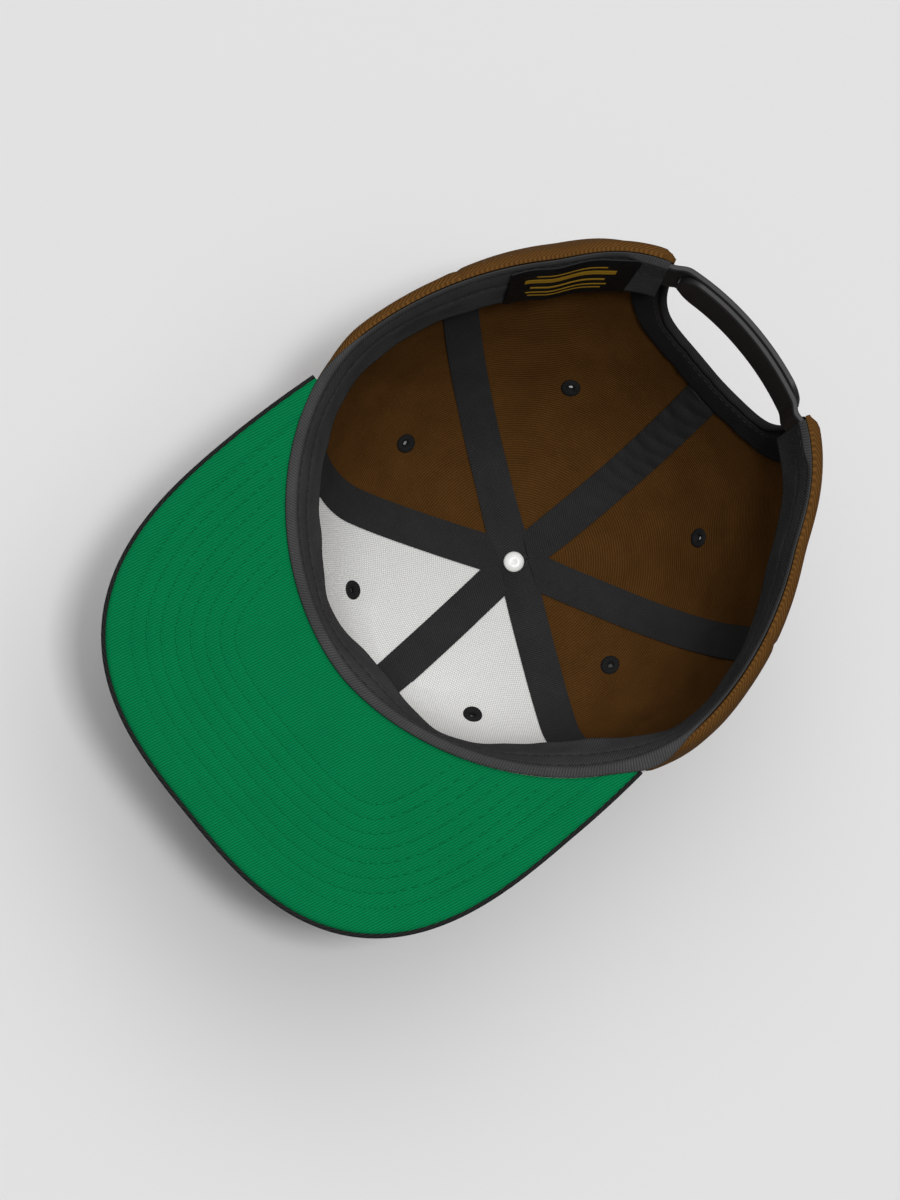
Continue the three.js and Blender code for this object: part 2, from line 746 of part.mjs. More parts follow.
// The visor's board with its top cloth, which wraps over the edge as a lip. null stands for the seam.
function visorTopGeometry() {
  const face = visorDrop;
  const floor = visorDrop + underCloth + gap;
  const outside = visorDrop + visorThickness;
  return sweep(visorRings([
    [null, outside],
    [edgeRound, outside],
    [0, outside - edgeRound],
    [0, face + edgeRound / 2],
    [edgeRound / 2, face],
    [lipWidth, face],
    [lipWidth, floor],
    [null, floor],
  ]));
}

function visorUnderGeometry() {
  const inset = lipWidth + gap;
  return sweep(visorRings([
    [null, visorDrop + underCloth],
    [inset, visorDrop + underCloth],
    [inset, visorDrop],
    [null, visorDrop],
  ]));
}

// Snap strap. layer 0 is the outer half and layer 1 the inner one.
const strapBase = panelWall + strapInset;
const strapMiddle = strapDrop + strapWidth / 2;
const archFromAngle = archCentre - archHalfAngle;
const archToAngle = archCentre + archHalfAngle;
const strapReach = rimReach(radians(archCentre)) - strapBase;
const strapEndTurn = THREE.MathUtils.radToDeg(strapEndMargin / strapReach);
const stepMargin = THREE.MathUtils.radToDeg(clothGap / strapReach);
const strapTab = strapTabAngle - THREE.MathUtils.radToDeg(clothGap / strapReach);

// The strap stands out a little towards its ends, and turns in again before it meets the panels.
function strapPoint(degrees, inset, drop) {
  const share = Math.abs(degrees - archCentre) / archHalfAngle;
  const flare = strapFlare * share ** 2 * (1 - THREE.MathUtils.smoothstep(share, flareShare, 1));
  return rimPoint(degrees, strapBase - flare + inset + strapLean * (drop - strapDrop), drop);
}

// A half of the strap from its tab to its rounded free end.
function strapGeometry(tab, free, insetAt) {
  const rings = [];
  for (let k = 0; k <= strapColumns; k += 1) {
    const turn = (k / strapColumns) * (Math.PI / 2);
    const degrees = lerp(tab, free, Math.sin(turn));
    const fromEnd = radians(Math.abs(free - degrees)) * strapReach;
    const round = Math.min(1, fromEnd / strapEndRound);
    const half = (strapWidth / 2) * Math.max(strapEndShare, Math.sqrt(1 - (1 - round) ** 2));
    const inset = insetAt(degrees);
    rings.push([
      strapPoint(degrees, inset, strapMiddle - half),
      strapPoint(degrees, inset, strapMiddle + half),
      strapPoint(degrees, inset + strapThickness, strapMiddle + half),
      strapPoint(degrees, inset + strapThickness, strapMiddle - half),
    ]);
  }
  return sweep(rings);
}

// A round body through the strap at each snap, from a low to a high inset.
function snapBodies(radius, low, high, sides) {
  const pitch = THREE.MathUtils.radToDeg(snapPitch / strapReach);
  const bodies = [];
  for (let k = 0; k < snapCount; k += 1) {
    const degrees = archCentre + (k - (snapCount - 1) / 2) * pitch;
    const place = strapPoint(degrees, 0, strapMiddle);
    const across = strapPoint(degrees, 0, strapMiddle + 1).sub(place);
    const along = strapPoint(degrees + 0.5, 0, strapMiddle).sub(strapPoint(degrees - 0.5, 0, strapMiddle));
    const inward = new THREE.Vector3().crossVectors(across, along).normalize();
    if (inward.dot(place.clone().setZ(0)) > 0) {
      inward.negate();
    }
    bodies.push(toSolid(placed(rod(radius, low, high, sides), place, inward)));
  }
  return bodies;
}

// The outer half is fixed at the wearer's left and has the holes.
function strapHolesGeometry() {
  const body = strapGeometry(archToAngle + strapTab, archFromAngle + strapEndTurn, () => 0);
  const holes = snapBodies(pegRadius + pegClearance, -strapThickness, 2 * strapThickness, roundSides);
  return toGeometry(holes.reduce((solid, hole) => solid.subtract(hole), toSolid(body)));
}

// The inner half is fixed at the wearer's right, steps outwards to its tab and has the pegs.
function strapPegsGeometry() {
  const innerLayer = strapThickness + gap;
  const stepEnd = archFromAngle + strapEndTurn - stepMargin;
  const insetAt = (degrees) => innerLayer * THREE.MathUtils.smoothstep(degrees, archFromAngle - 1, stepEnd);
  const body = strapGeometry(archFromAngle - strapTab, archToAngle - strapEndTurn, insetAt);
  const pegs = snapBodies(pegRadius, -pegRise, innerLayer + strapThickness / 2, roundSides);
  return toGeometry(pegs.reduce((solid, peg) => solid.add(peg), toSolid(body)));
}

// The cloth-covered button outside, with a shank through the crown into the rivet.
const tapeFace = tapeInset + tapeThickness;
const rivetFoot = tapeFace + gap;

function buttonGeometry() {
  const edge = buttonDome - Math.sqrt(buttonDome ** 2 - buttonRadius ** 2) - buttonRise;
  const ring = (turn) => [
    buttonDome * Math.sin(radians(turn)),
    buttonDome * (1 - Math.cos(radians(turn))) - buttonRise,
  ];
  return turned([
    [0, -buttonRise],
    ring(restTilt),
    ring(2 * restTilt),
    [buttonRadius, edge],
    [buttonRadius, edge + buttonEdge],
    [buttonRadius - buttonEdge / 2, -gap],
    [shankRadius, -gap],
    [shankRadius, rivetFoot + rivetRise / 2 - gap],
    [0, rivetFoot + rivetRise / 2 - gap],
  ], buttonSides);
}

function rivetGeometry() {
  const bore = shankRadius + gap;
  return turned([
    [0, rivetFoot + rivetRise / 2],
    [bore, rivetFoot + rivetRise / 2],
    [bore, rivetFoot],
    [rivetRadius, rivetFoot],
    [rivetRadius, rivetFoot + rivetRise * 0.4],
    [rivetRadius * 0.8, rivetFoot + rivetRise * 0.8],
    [rivetRadius * 0.4, rivetFoot + rivetRise * 0.97],
    [0, rivetFoot + rivetRise],
  ], roundSides + 4);
}

// The assembled cap, tipped onto its crown with the middle of the flattened patch at the origin.
const cap = new THREE.Group();
cap.rotation.x = radians(restTilt);

const restPlane = new THREE.Vector3(0, -restCentreAhead, (floorLevel + restCentreAhead * tiltSin) / tiltCos);
const restPoint = restPlane.clone().applyAxisAngle(new THREE.Vector3(1, 0, 0), radians(restTilt));
cap.position.set(0, -restPoint.y, -restPoint.z);

function add(name, geometry, material) {
  const mesh = new THREE.Mesh(geometry, materials[material].clone());
  mesh.name = name;
  cap.add(mesh);
}

for (const panel of panels) {
  add(`panel_${panel.name}`, panelGeometry(panel), panel.cloth);
  add(`eyelet_${panel.name}`, eyeletGeometry(panel), 'black');
}
add('tape_long', longTapeGeometry(), 'black');
for (const [name, geometry] of Object.entries(tapeGeometries())) {
  add(name, geometry, 'black');
}
add('opening_binding', bindingGeometry(), 'black');
add('sweatband', sweatbandGeometry(), 'black');
add('label', labelGeometry(), 'satin');
add('visor_top', visorTopGeometry(), 'black');
add('visor_under', visorUnderGeometry(), 'green');
add('strap_holes', strapHolesGeometry(), 'plastic');
add('strap_pegs', strapPegsGeometry(), 'plastic');
add('crown_button', buttonGeometry(), 'brown');
add('crown_rivet', rivetGeometry(), 'enamel');

const model = new THREE.Group();
model.add(cap);

export default model;
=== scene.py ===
# Looks of a flat-brimmed snapback cap that lies upside down on its crown.
# Shapes are worked out in millimetres with the opening level, then tipped and turned to metres.

import math

import bpy
import numpy as np
from mathutils import Matrix, Vector


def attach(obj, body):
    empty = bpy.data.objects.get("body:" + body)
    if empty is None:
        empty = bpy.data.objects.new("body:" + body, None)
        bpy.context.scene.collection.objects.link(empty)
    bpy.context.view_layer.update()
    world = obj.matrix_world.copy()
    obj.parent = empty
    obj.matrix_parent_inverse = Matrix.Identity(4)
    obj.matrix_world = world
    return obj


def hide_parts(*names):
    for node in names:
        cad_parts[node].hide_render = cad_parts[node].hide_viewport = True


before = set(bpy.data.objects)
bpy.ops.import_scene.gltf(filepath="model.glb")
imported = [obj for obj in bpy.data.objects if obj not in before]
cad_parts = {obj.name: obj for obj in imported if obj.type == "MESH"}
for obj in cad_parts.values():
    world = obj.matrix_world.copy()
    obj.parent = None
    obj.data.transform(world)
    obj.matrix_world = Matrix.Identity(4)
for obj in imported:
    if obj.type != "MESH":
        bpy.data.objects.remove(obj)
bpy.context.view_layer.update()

# Crown.
CROWN_DEPTH = 118.0
FRONT_REACH = 81.0
BACK_REACH = 112.0
HALF_WIDTH = 92.3
SIDE_ROUNDNESS = 1.82
BACK_ROUNDNESS = 2.05
BACK_FROM = 45.0
BACK_TO = 20.0
FRONT_BEND = 1.8
BACK_BEND = 5.0
WALL = 1.5
APEX_HOLE = 2.6
REST_TILT = math.radians(13.0)
REST_CENTRE_AHEAD = 43.0
BUTTON_DOME = 14.0
BUTTON_RISE = 4.2
BUTTON_RADIUS = 7.8

# Arch at the back.
ARCH_CENTRE = 180.5
ARCH_HALF_ANGLE = 19.2
ARCH_HEIGHT = 55.0
ARCH_SQUARENESS = 5.5

# The crown's sections. The first two columns are the span and the share of the crown's depth, the
# others are shares of the rim's reach towards the front, right side, right corner, back, left corner
# and left side.
SECTIONS = np.array([
    [0.00, 0.000, 0.000, 0.000, 0.000, 0.000, 0.000, 0.000],
    [0.10, 0.006, 0.200, 0.185, 0.160, 0.150, 0.160, 0.185],
    [0.21, 0.022, 0.450, 0.385, 0.330, 0.305, 0.330, 0.385],
    [0.32, 0.055, 0.690, 0.575, 0.490, 0.450, 0.490, 0.575],
    [0.42, 0.110, 0.830, 0.700, 0.610, 0.555, 0.610, 0.700],
    [0.52, 0.200, 0.905, 0.820, 0.725, 0.655, 0.725, 0.820],
    [0.62, 0.325, 0.945, 0.915, 0.840, 0.755, 0.845, 0.915],
    [0.73, 0.500, 0.965, 0.985, 0.940, 0.845, 0.960, 0.980],
    [0.84, 0.700, 0.980, 1.030, 1.015, 0.920, 1.045, 1.010],
    [0.93, 0.870, 0.990, 1.045, 1.035, 0.965, 1.070, 1.025],
    [1.00, 1.000, 1.000, 1.000, 1.000, 1.000, 1.000, 1.000],
])
HEIGHT = 1

# Where round the crown each column of reach holds: the angle from the front and the column.
STATIONS = [(-180.0, 5), (-137.0, 6), (-85.0, 7), (0.0, 2), (110.0, 3), (152.0, 4), (180.0, 5)]

# Seams by their angle from the front. The front panels' side seams run back as they near the rim.
SEAMS = {
    "front": 5.0, "right_front": 65.0, "right_rear": 117.0,
    "back": 178.3, "left_rear": 244.5, "left_front": 302.5,
}
SEAM_SWAYS = {"right_front": 12.8, "left_front": -10.0}
SWAY_FROM_SPAN = 0.45
SWAY_TO_SPAN = 0.9

# Each panel's name, its two seams and its eyelet's angle and span.
PANELS = [
    ("front_right", "front", "right_front", 35.8, 0.395),
    ("side_right", "right_front", "right_rear", 93.0, 0.33),
    ("back_right", "right_rear", "back", 145.6, 0.495),
    ("back_left", "back", "left_rear", 211.6, 0.475),
    ("side_left", "left_rear", "left_front", 273.5, 0.4),
    ("front_left", "left_front", "front", 331.8, 0.412),
]

# Soft dents of the cloth: angle, span, half widths in degrees and span, and depth in millimetres.
DENTS = [
    (84.0, 0.62, 6.0, 0.10, 2.0),
    (98.0, 0.74, 5.0, 0.12, -1.8),
    (108.0, 0.66, 4.0, 0.16, 1.2),
    (140.0, 0.66, 11.0, 0.14, 1.2),
    (205.0, 0.60, 12.0, 0.12, 0.9),
    (236.0, 0.72, 9.0, 0.13, -1.0),
    (284.0, 0.66, 11.0, 0.13, 1.1),
    (322.0, 0.68, 12.0, 0.12, -0.6),
    (40.0, 0.70, 12.0, 0.12, 0.6),
]

# Folds of the inner cloth alone, in the same columns.
FOLDS = [
    (89.0, 0.80, 4.0, 0.07, 1.5),
    (98.0, 0.74, 3.0, 0.10, -0.9),
    (106.0, 0.82, 4.0, 0.06, 1.3),
    (128.0, 0.62, 5.0, 0.09, 0.9),
    (137.0, 0.70, 4.0, 0.10, -0.8),
    (222.0, 0.66, 5.0, 0.10, 0.8),
    (262.0, 0.70, 4.0, 0.10, 0.9),
    (271.0, 0.62, 4.0, 0.12, -0.8),
]

# Cloth of the panels: its waves, the dip at a seam, the rolled hem and the hole under an eyelet.
CLOTH_WAVE = 0.32
LINING_GAP = 0.1
SEAM_DIP = 0.5
SEAM_DIP_WIDTH = 1.3
HEM_DROP = 0.4
HEM_ROUNDING = 0.9
HEM_SWELL = 1.4
HEM_END_SWELL = 0.9
HEM_END_REACH = 7.0
HEM_MIDDLE = 3.6
HEM_HALF_WIDTH = 3.2
HEM_CORNER = 2.4
HEM_CORNER_REACH = 1.3
HEM_LEG_REACH = 1.2
EYELET_CUT = 2.2

# Stitched ring of an eyelet: radius and depth from the crown's outer face.
EYELET_OUTLINE = [
    (0.8, 0.8), (1.1, -0.1), (1.8, -0.8), (2.7, -0.9), (3.5, -0.6), (3.7, -0.2), (2.5, 0.1),
    (2.5, WALL), (3.75, WALL + 0.15), (3.55, WALL + 0.6), (2.7, WALL + 0.9), (1.8, WALL + 0.8),
    (1.1, WALL + 0.2),
]
EYELET_RIBS = 0.06

# Tapes and bound edge.
TAPE_WIDTH = 14.0
TAPE_THICKNESS = 0.8
TAPE_INSET = WALL + 0.4
TAPE_RIM_DROP = 9.5
TAPE_CROWN = 0.75
TAPE_CROWN_WIDTH = 4.2
LONG_TAPE_START = 0.012
SIDE_TAPE_START = 5.6
TIP_OVER_LONG_TAPE = 1.2
TIP_OVER_NEXT_TAPE = 0.7
LONG_TAPE_PUCKER = 0.08
BINDING_WIDTH = 13.0
BINDING_DEPTH = WALL + 0.5
BINDING_ROLL = 1.7
BINDING_OVER_STRAP = 0.6
TAPE_ARCH_DROP = ARCH_HEIGHT + BINDING_WIDTH - 1.0

# The side tapes: name, seam, next seam, drop of the end and height of the wrinkles.
SIDE_TAPES = [
    ("tape_front", "front", "left_front", TAPE_RIM_DROP, 0.03),
    ("tape_left_front", "left_front", "front", TAPE_RIM_DROP, 0.05),
    ("tape_right_rear", "right_rear", "back", TAPE_RIM_DROP, 0.06),
    ("tape_back", "back", "right_rear", TAPE_ARCH_DROP, 0.42),
]

# Sweatband.
BAND_HEIGHT = 30.0
BAND_LEAN = 6.5
BAND_END_MARGIN = 0.6
BAND_OVER_VISOR = 0.65
HEM_REVEAL = 2.0
HORN_COVER = 2.2
HORN_COVER_TURN = 5.0
HORN_COVER_SPREAD = 7.0
HORN_FADE = 16.0

# The sweatband's lean round the rim: angle from the front and share of the full lean.
BAND_STATIONS = [
    (-160.0, 1.0), (-100.0, 0.6), (-42.0, 1.05), (-18.0, 0.72), (2.0, 1.37),
    (28.0, 0.35), (66.0, 1.54), (100.0, 0.12), (160.0, 0.85),
]

# The sweatband's section has rows of drop, stand and a share. The stand is how far in from the rim
# a row lies. The share is that of the reach over the visor's seam in the fold and the foot, and
# that of the lean in the sides and the seams. Each part of the sides starts with its clearance off
# the strap's tabs.
BAND_FOLD = [
    (0.35, 0.15, 1.0), (0.0, -0.1, 1.0), (-0.35, 0.1, 1.0), (-0.5, 0.7, 0.8), (-0.5, 1.6, 0.4),
    (-0.35, 2.3, 0.1),
]
BAND_SIDES = [
    (0.45, [(0.1, 2.8, 0.0)]),
    (0.6, [
        (0.9, 3.05, 0.02), (2.2, 3.1, 0.06), (3.0, 2.95, 0.08), (3.8, 3.1, 0.12), (6.0, 3.3, 0.2),
        (9.0, 3.5, 0.3), (12.0, 3.6, 0.4), (12.6, 3.42, 0.42), (13.3, 3.65, 0.45), (17.0, 3.75, 0.56),
        (22.0, 3.7, 0.73), (26.0, 3.7, 0.87), (28.5, 3.85, 0.95), (29.6, 3.85, 0.99),
    ]),
    (0.4, [(30.0, 3.4, 1.0)]),
    (0.1, [
        (29.9, 2.4, 1.0), (28.0, 2.1, 0.93), (20.0, 2.1, 0.67), (10.0, 2.1, 0.33), (3.0, 2.0, 0.08),
        (0.6, 2.0, 0.0),
    ]),
]
BAND_FOOT = [(0.4, 1.9, 0.1), (0.35, 0.4, 0.85)]
BAND_SEAMS = [(3.0, 3.0, 0.08), (12.6, 3.5, 0.42)]
BAND_SEAM_OFF_TABS = 0.65
NO_TAB = -math.inf

# Label and its woven stripes, which have rows of drop, half height and share of its length.
LABEL_ANGLE = -140.0
LABEL_LENGTH = 48.0
LABEL_MARGIN = 1.4
LABEL_SLANT = 1.9
STRIPES = [
    (6.5, 0.45, 0.55), (11.5, 1.5, 0.72), (17.0, 0.5, 0.6), (21.0, 0.45, 0.66), (24.5, 0.4, 0.6),
]

# Visor.
VISOR_REACH = 153.5
VISOR_HALF_WIDTH = 92.2
VISOR_WIDEST_AHEAD = 55.0
VISOR_ROUNDNESS = 2.85
VISOR_ROUND_PART = 0.8
VISOR_SKEW = 1.5
VISOR_RISE = math.radians(6.0)
VISOR_END_ANGLE = 76.0
VISOR_HORN_WIDTH = 2.6
VISOR_THICKNESS = 4.0
VISOR_DROP = 0.9
VISOR_SEAM = 0.7
LIP_WIDTH = 1.4
STITCH_ROWS = 8
FIRST_ROW = 10.5
ROW_PITCH = 5.1
ROW_SINK = 0.2
ROW_SINK_WIDTH = 1.1
EDGE_PAD = 0.6
EDGE_TUCK = 0.5
STITCH_BURY = 0.14
# Place of the painted needle-hole shade: its shift past each stitch and its lift over the cloth.
HOLE_SHADE_SHIFT = 3.55
HOLE_SHADE_LIFT = 0.12

# Snap strap.
STRAP_WIDTH = 20.0
STRAP_THICKNESS = 2.2
STRAP_DROP = 1.0
STRAP_LEAN = 0.13
STRAP_INSET = 0.4
STRAP_FLARE = 2.2
STRAP_BEVEL = 0.45
STRAP_END_ROUNDING = 9.0
FLARE_SHARE = 0.8
STRAP_END_MARGIN = 4.5
STRAP_TAB_ANGLE = 4.6
TAB_MARGIN = 0.3
INNER_LAYER = STRAP_THICKNESS + 0.1
SNAP_COUNT = 7
SNAP_PITCH = 8.6
PEG_RADIUS = 2.2
PEG_RISE = 0.9

# Stitches: their pitch, length, radius and rise.
BINDING_STITCH = (3.0, 2.2, 0.22, 0.25)
BAND_STITCH = (4.0, 2.8, 0.25, 0.3)
VISOR_STITCH = (4.2, 3.4, 0.3, 0.2)
# Sizes of the dark marks that are painted shade of the visor's needle holes.
HOLE_SHADE_SIZES = (4.2, 0.4, 0.16, 0.05)

# Rows and columns of the meshes.
PANEL_COLUMNS = 56
PANEL_ROWS = 120
TAPE_COLUMNS = 14
TAPE_ROWS = 120
LONG_TAPE_ROWS = 110
BINDING_STATIONS = 150
BAND_STEPS = 480
VISOR_COLUMNS = 260
VISOR_ROWS = 96
VISOR_EDGE_STEPS = 420
OUTLINE_STEPS = 1201
STRAP_STATIONS = 120
LABEL_COLUMNS = 49
LABEL_ROWS = 41
STRIPE_COLUMNS = 41
STRIPE_ROWS = 5
STITCH_STATIONS = 5
STITCH_SIDES = 6
EYELET_SIDES = 44
SNAP_SIDES = 24
BUTTON_SIDES = 48
RIVET_SIDES = 40

# Camera: its distance from the rim's middle, its lean from the opening's axis towards the front and
# towards the wearer's right, the direction of the front in the picture, and the picture's place of
# the point that it looks at.
VIEW_DISTANCE = 1100.0
VIEW_FRONT_LEAN = math.radians(6.0)
VIEW_RIGHT_LEAN = math.radians(2.75)
VIEW_ROLL = math.radians(140.6)
VIEW_TARGET = (0.0, 13.0, 118.0)
VIEW_TARGET_PIXEL = (554.5, 510.0)
PIXELS_PER_MM = 2.85
PICTURE = (900.0, 1200.0)
SENSOR = 36.0

# Studio, in metres and watts. Lights have a name, a place, a size and a power.
FLOOR_HALF = 6.0
FLOOR_HEIGHT = -0.0006
FLOOR_TONE = 0.68
WORLD_LEVEL = 0.2
LIGHT_TARGET = (0.0, 0.0, 0.08)
LIGHTS = [("key", (0.32, -0.24, 2.3), 0.3, 23.0), ("softbox", (-0.35, 0.45, 2.2), 2.8, 41.0)]

# A metre in millimetres, the way up, and the crease angle of a piece without crisp edges.
MM_PER_METRE = 1000.0
UP = np.array([0.0, 0.0, 1.0])
SOFT = 180.0


def smoothstep(value, low, high):
    t = np.clip((value - low) / (high - low), 0.0, 1.0)
    return t * t * (3.0 - 2.0 * t)


def bell(value, half_width):
    """1 at a value of 0, falling away softly on both sides."""
    return np.exp(-((value / half_width) ** 2))


def bearing(degrees):
    """The same direction between -180 and 180 degrees from the front."""
    return np.mod(np.asarray(degrees, float) + 180.0, 360.0) - 180.0


def dot(a, b):
    return np.sum(a * b, -1)


def unit(vectors):
    length = np.linalg.norm(vectors, axis=-1, keepdims=True)
    return vectors / np.maximum(length, 1e-12)


def distance_along(line):
    """Distances along rows of points from the first row, for each column where there are columns."""
    steps = np.linalg.norm(np.diff(line, axis=0), axis=-1)
    return np.concatenate([np.zeros((1, *steps.shape[1:])), np.cumsum(steps, axis=0)])


def on_line(at, lengths, rows):
    """Rows of an array at distances along the line to which they belong."""
    return np.stack([np.interp(at, lengths, column) for column in rows.T], -1)


def share_where(measure, goal):
    """The share between 0 and 1 at which a rising measure passes its goal."""
    low, high = 0.0, 1.0
    for _ in range(40):
        middle = (low + high) / 2
        if measure(middle) < goal:
            low = middle
        else:
            high = middle
    return (low + high) / 2


# Crown's surface.

def floor_level():
    return (BUTTON_DOME - BUTTON_RISE) * math.cos(REST_TILT) - BUTTON_DOME


def tilted(points):
    """Turned by the angle at which the cap tips forward."""
    x, y, z = (points[..., k] for k in range(3))
    cosine, sine = math.cos(REST_TILT), math.sin(REST_TILT)
    return np.stack([x, y * cosine - z * sine, y * sine + z * cosine], -1)


def tipped(points):
    """From the level cap in millimetres to the row's frame, with the rest patch at the origin."""
    patch_z = (floor_level() + REST_CENTRE_AHEAD * math.sin(REST_TILT)) / math.cos(REST_TILT)
    patch = tilted(np.array([0.0, -REST_CENTRE_AHEAD, patch_z]))
    return (tilted(np.asarray(points, float)) - patch) / MM_PER_METRE


def section_value(column, span):
    """A smooth curve through one column of the crown's sections."""
    spans = SECTIONS[:, 0]
    values = SECTIONS[:, column]
    slopes = np.diff(values) / np.diff(spans)
    middle = (slopes[:-1] + slopes[1:]) / 2
    first = 0.0 if column == HEIGHT else slopes[0]
    tangents = np.concatenate([[first], middle, [slopes[-1]]])
    i = np.clip(np.searchsorted(spans, span, side="left") - 1, 0, len(spans) - 2)
    width = spans[i + 1] - spans[i]
    t = (span - spans[i]) / width
    start = (2 * t**3 - 3 * t**2 + 1) * values[i] + (t**3 - 2 * t**2 + t) * width * tangents[i]
    end = (3 * t**2 - 2 * t**3) * values[i + 1] + (t**3 - t**2) * width * tangents[i + 1]
    return start + end


def rim_reach(angle):
    ahead = np.cos(angle)
    flat = smoothstep(-ahead, math.cos(math.radians(BACK_FROM)), math.cos(math.radians(BACK_TO)))
    roundness = SIDE_ROUNDNESS + (BACK_ROUNDNESS - SIDE_ROUNDNESS) * flat
    reach = np.where(ahead > 0, FRONT_REACH, BACK_REACH)
    across = np.abs(np.sin(angle) / HALF_WIDTH) ** roundness
    return (across + np.abs(ahead / reach) ** roundness) ** (-1 / roundness)


def bent(angle, reach, height):
    """A point at a reach and height, moved by the sideways bend of the front and the back."""
    y = -reach * np.cos(angle)
    front = FRONT_BEND * (y / FRONT_REACH) ** 2
    back = BACK_BEND * (y / BACK_REACH) ** 2
    x = reach * np.sin(angle) - np.where(y < 0, front, back)
    return np.stack(np.broadcast_arrays(x, y, height), -1)


def rim_point(degrees, inset, drop):
    """A point at an inset from the rim and a drop below it."""
    angle = np.radians(degrees)
    return bent(angle, rim_reach(angle) - inset, CROWN_DEPTH - np.asarray(drop))


def seam_angle(seam, span):
    """A seam's angle in degrees at a span."""
    return SEAMS[seam] + SEAM_SWAYS.get(seam, 0.0) * smoothstep(span, SWAY_FROM_SPAN, SWAY_TO_SPAN)


def through_stations(around, stations, value_of, share):
    """Blends softly between the stations' values, over the share that holds beyond them."""
    for (low, low_key), (high, high_key) in zip(stations[:-1], stations[1:]):
        blend = smoothstep(around, low, high)
        here = value_of(low_key) * (1 - blend) + value_of(high_key) * blend
        share = np.where((around >= low) & (around < high), here, share)
    return share


def lean_at(degrees):
    """The sweatband's lean at an angle, in millimetres."""
    around = bearing(degrees)
    beyond = np.where(around < BAND_STATIONS[0][0], BAND_STATIONS[0][1], BAND_STATIONS[-1][1])
    return BAND_LEAN * through_stations(around, BAND_STATIONS, float, beyond)


def beside_visor(degrees):
    """1 along the visor's seam, falling to 0 past its ends."""
    from_front = np.abs(bearing(degrees))
    return 1.0 - smoothstep(from_front, VISOR_END_ANGLE - 1.0, VISOR_END_ANGLE + HORN_FADE)


def crown_share(angle, span):
    """The crown's share of the rim's reach at an angle and a span."""
    def share_of(column):
        return section_value(column, span)

    return through_stations(bearing(np.degrees(angle)), STATIONS, share_of, 0.0)


def dent_depth(angle, span, dents):
    """How far a list of dents presses the cloth in, in millimetres."""
    degrees = np.degrees(angle)
    depth = np.zeros(np.broadcast(degrees, span).shape)
    for at, at_span, wide, long, deep in dents:
        depth = depth + deep * bell(bearing(degrees - at), wide) * bell(span - at_span, long)
    return depth


def crown_outer(right, ahead):
    """The crown's outer surface over a disc whose centre is the button and whose edge is the rim.

    It is flattened where it would go under the floor.
    """
    span = np.hypot(right, ahead)
    angle = np.arctan2(right, ahead)
    reach = rim_reach(angle) * crown_share(angle, span) - dent_depth(angle, span, DENTS)
    point = bent(angle, reach, CROWN_DEPTH * section_value(HEIGHT, span))
    sine, cosine = math.sin(REST_TILT), math.cos(REST_TILT)
    under = np.minimum(point[..., 1] * sine + point[..., 2] * cosine - floor_level(), 0.0)
    point[..., 1] -= under * sine
    point[..., 2] -= under * cosine
    return point


def crown_frame(right, ahead):
    """The surface's change towards the disc's right and front, and its inward normal."""
    step = 0.004
    to_right = (crown_outer(right + step, ahead) - crown_outer(right - step, ahead)) / (2 * step)
    to_front = (crown_outer(right, ahead + step) - crown_outer(right, ahead - step)) / (2 * step)
    return to_right, to_front, unit(np.cross(to_front, to_right))


def crown_point(right, ahead, depth):
    inward = crown_frame(right, ahead)[2]
    return crown_outer(right, ahead) + inward * np.asarray(depth)[..., None]


def crown_move(right, ahead, direction, distance):
    """Disc coordinates after a move over the crown along a direction."""
    to_right, to_front, _ = crown_frame(right, ahead)
    rr = dot(to_right, to_right)
    rf = dot(to_right, to_front)
    ff = dot(to_front, to_front)
    dr = dot(to_right, direction) * distance
    df = dot(to_front, direction) * distance
    determinant = rr * ff - rf * rf
    return right + (dr * ff - df * rf) / determinant, ahead + (df * rr - dr * rf) / determinant


def disc_place(degrees, span):
    """Disc coordinates, right and ahead, of a place on the crown."""
    return span * math.sin(math.radians(degrees)), span * math.cos(math.radians(degrees))


def beside_line(angle, span, aside):
    """Disc coordinates beside a line from the button, aside in millimetres to its right."""
    shift = aside * span / (rim_reach(angle) * crown_share(angle, span))
    right = span * np.sin(angle) + shift * np.cos(angle)
    ahead = span * np.cos(angle) - shift * np.sin(angle)
    return right, ahead


def span_at_drop(drop):
    spans = np.linspace(0.0, 1.0, 801)
    return np.interp(1.0 - np.asarray(drop) / CROWN_DEPTH, section_value(HEIGHT, spans), spans)


def span_at_reach(angle, reach):
    def reach_at(span):
        return float(rim_reach(angle) * crown_share(angle, np.float64(span)))

    return share_where(reach_at, reach)


def arch_measure(degrees, drop):
    """Under 1 inside the arch, 1 on its edge."""
    across = np.abs((degrees - ARCH_CENTRE) / ARCH_HALF_ANGLE) ** ARCH_SQUARENESS
    return (across + np.abs(drop / ARCH_HEIGHT) ** ARCH_SQUARENESS) ** (1 / ARCH_SQUARENESS)


def arch_scale(turn):
    """How far the arch's edge lies outside an ellipse at a turn."""
    sides = np.abs(np.cos(turn)) ** ARCH_SQUARENESS + np.abs(np.sin(turn)) ** ARCH_SQUARENESS
    return sides ** (-1 / ARCH_SQUARENESS)


def arch_place(turn):
    """Disc coordinates of the arch's edge, from the right leg at 0 to the left leg at pi."""
    angle = np.radians(ARCH_CENTRE - ARCH_HALF_ANGLE * arch_scale(turn) * np.cos(turn))
    span = span_at_drop(ARCH_HEIGHT * arch_scale(turn) * np.sin(turn))
    return span * np.sin(angle), span * np.cos(angle)


def arch_nearness(angle, reach):
    """1 at the arch's legs, falling to 0 away from them over a reach in degrees."""
    beyond = np.abs(np.mod(np.degrees(angle), 360.0) - ARCH_CENTRE) - ARCH_HALF_ANGLE
    return bell(np.maximum(beyond, 0.0), reach)


# Mesh making.

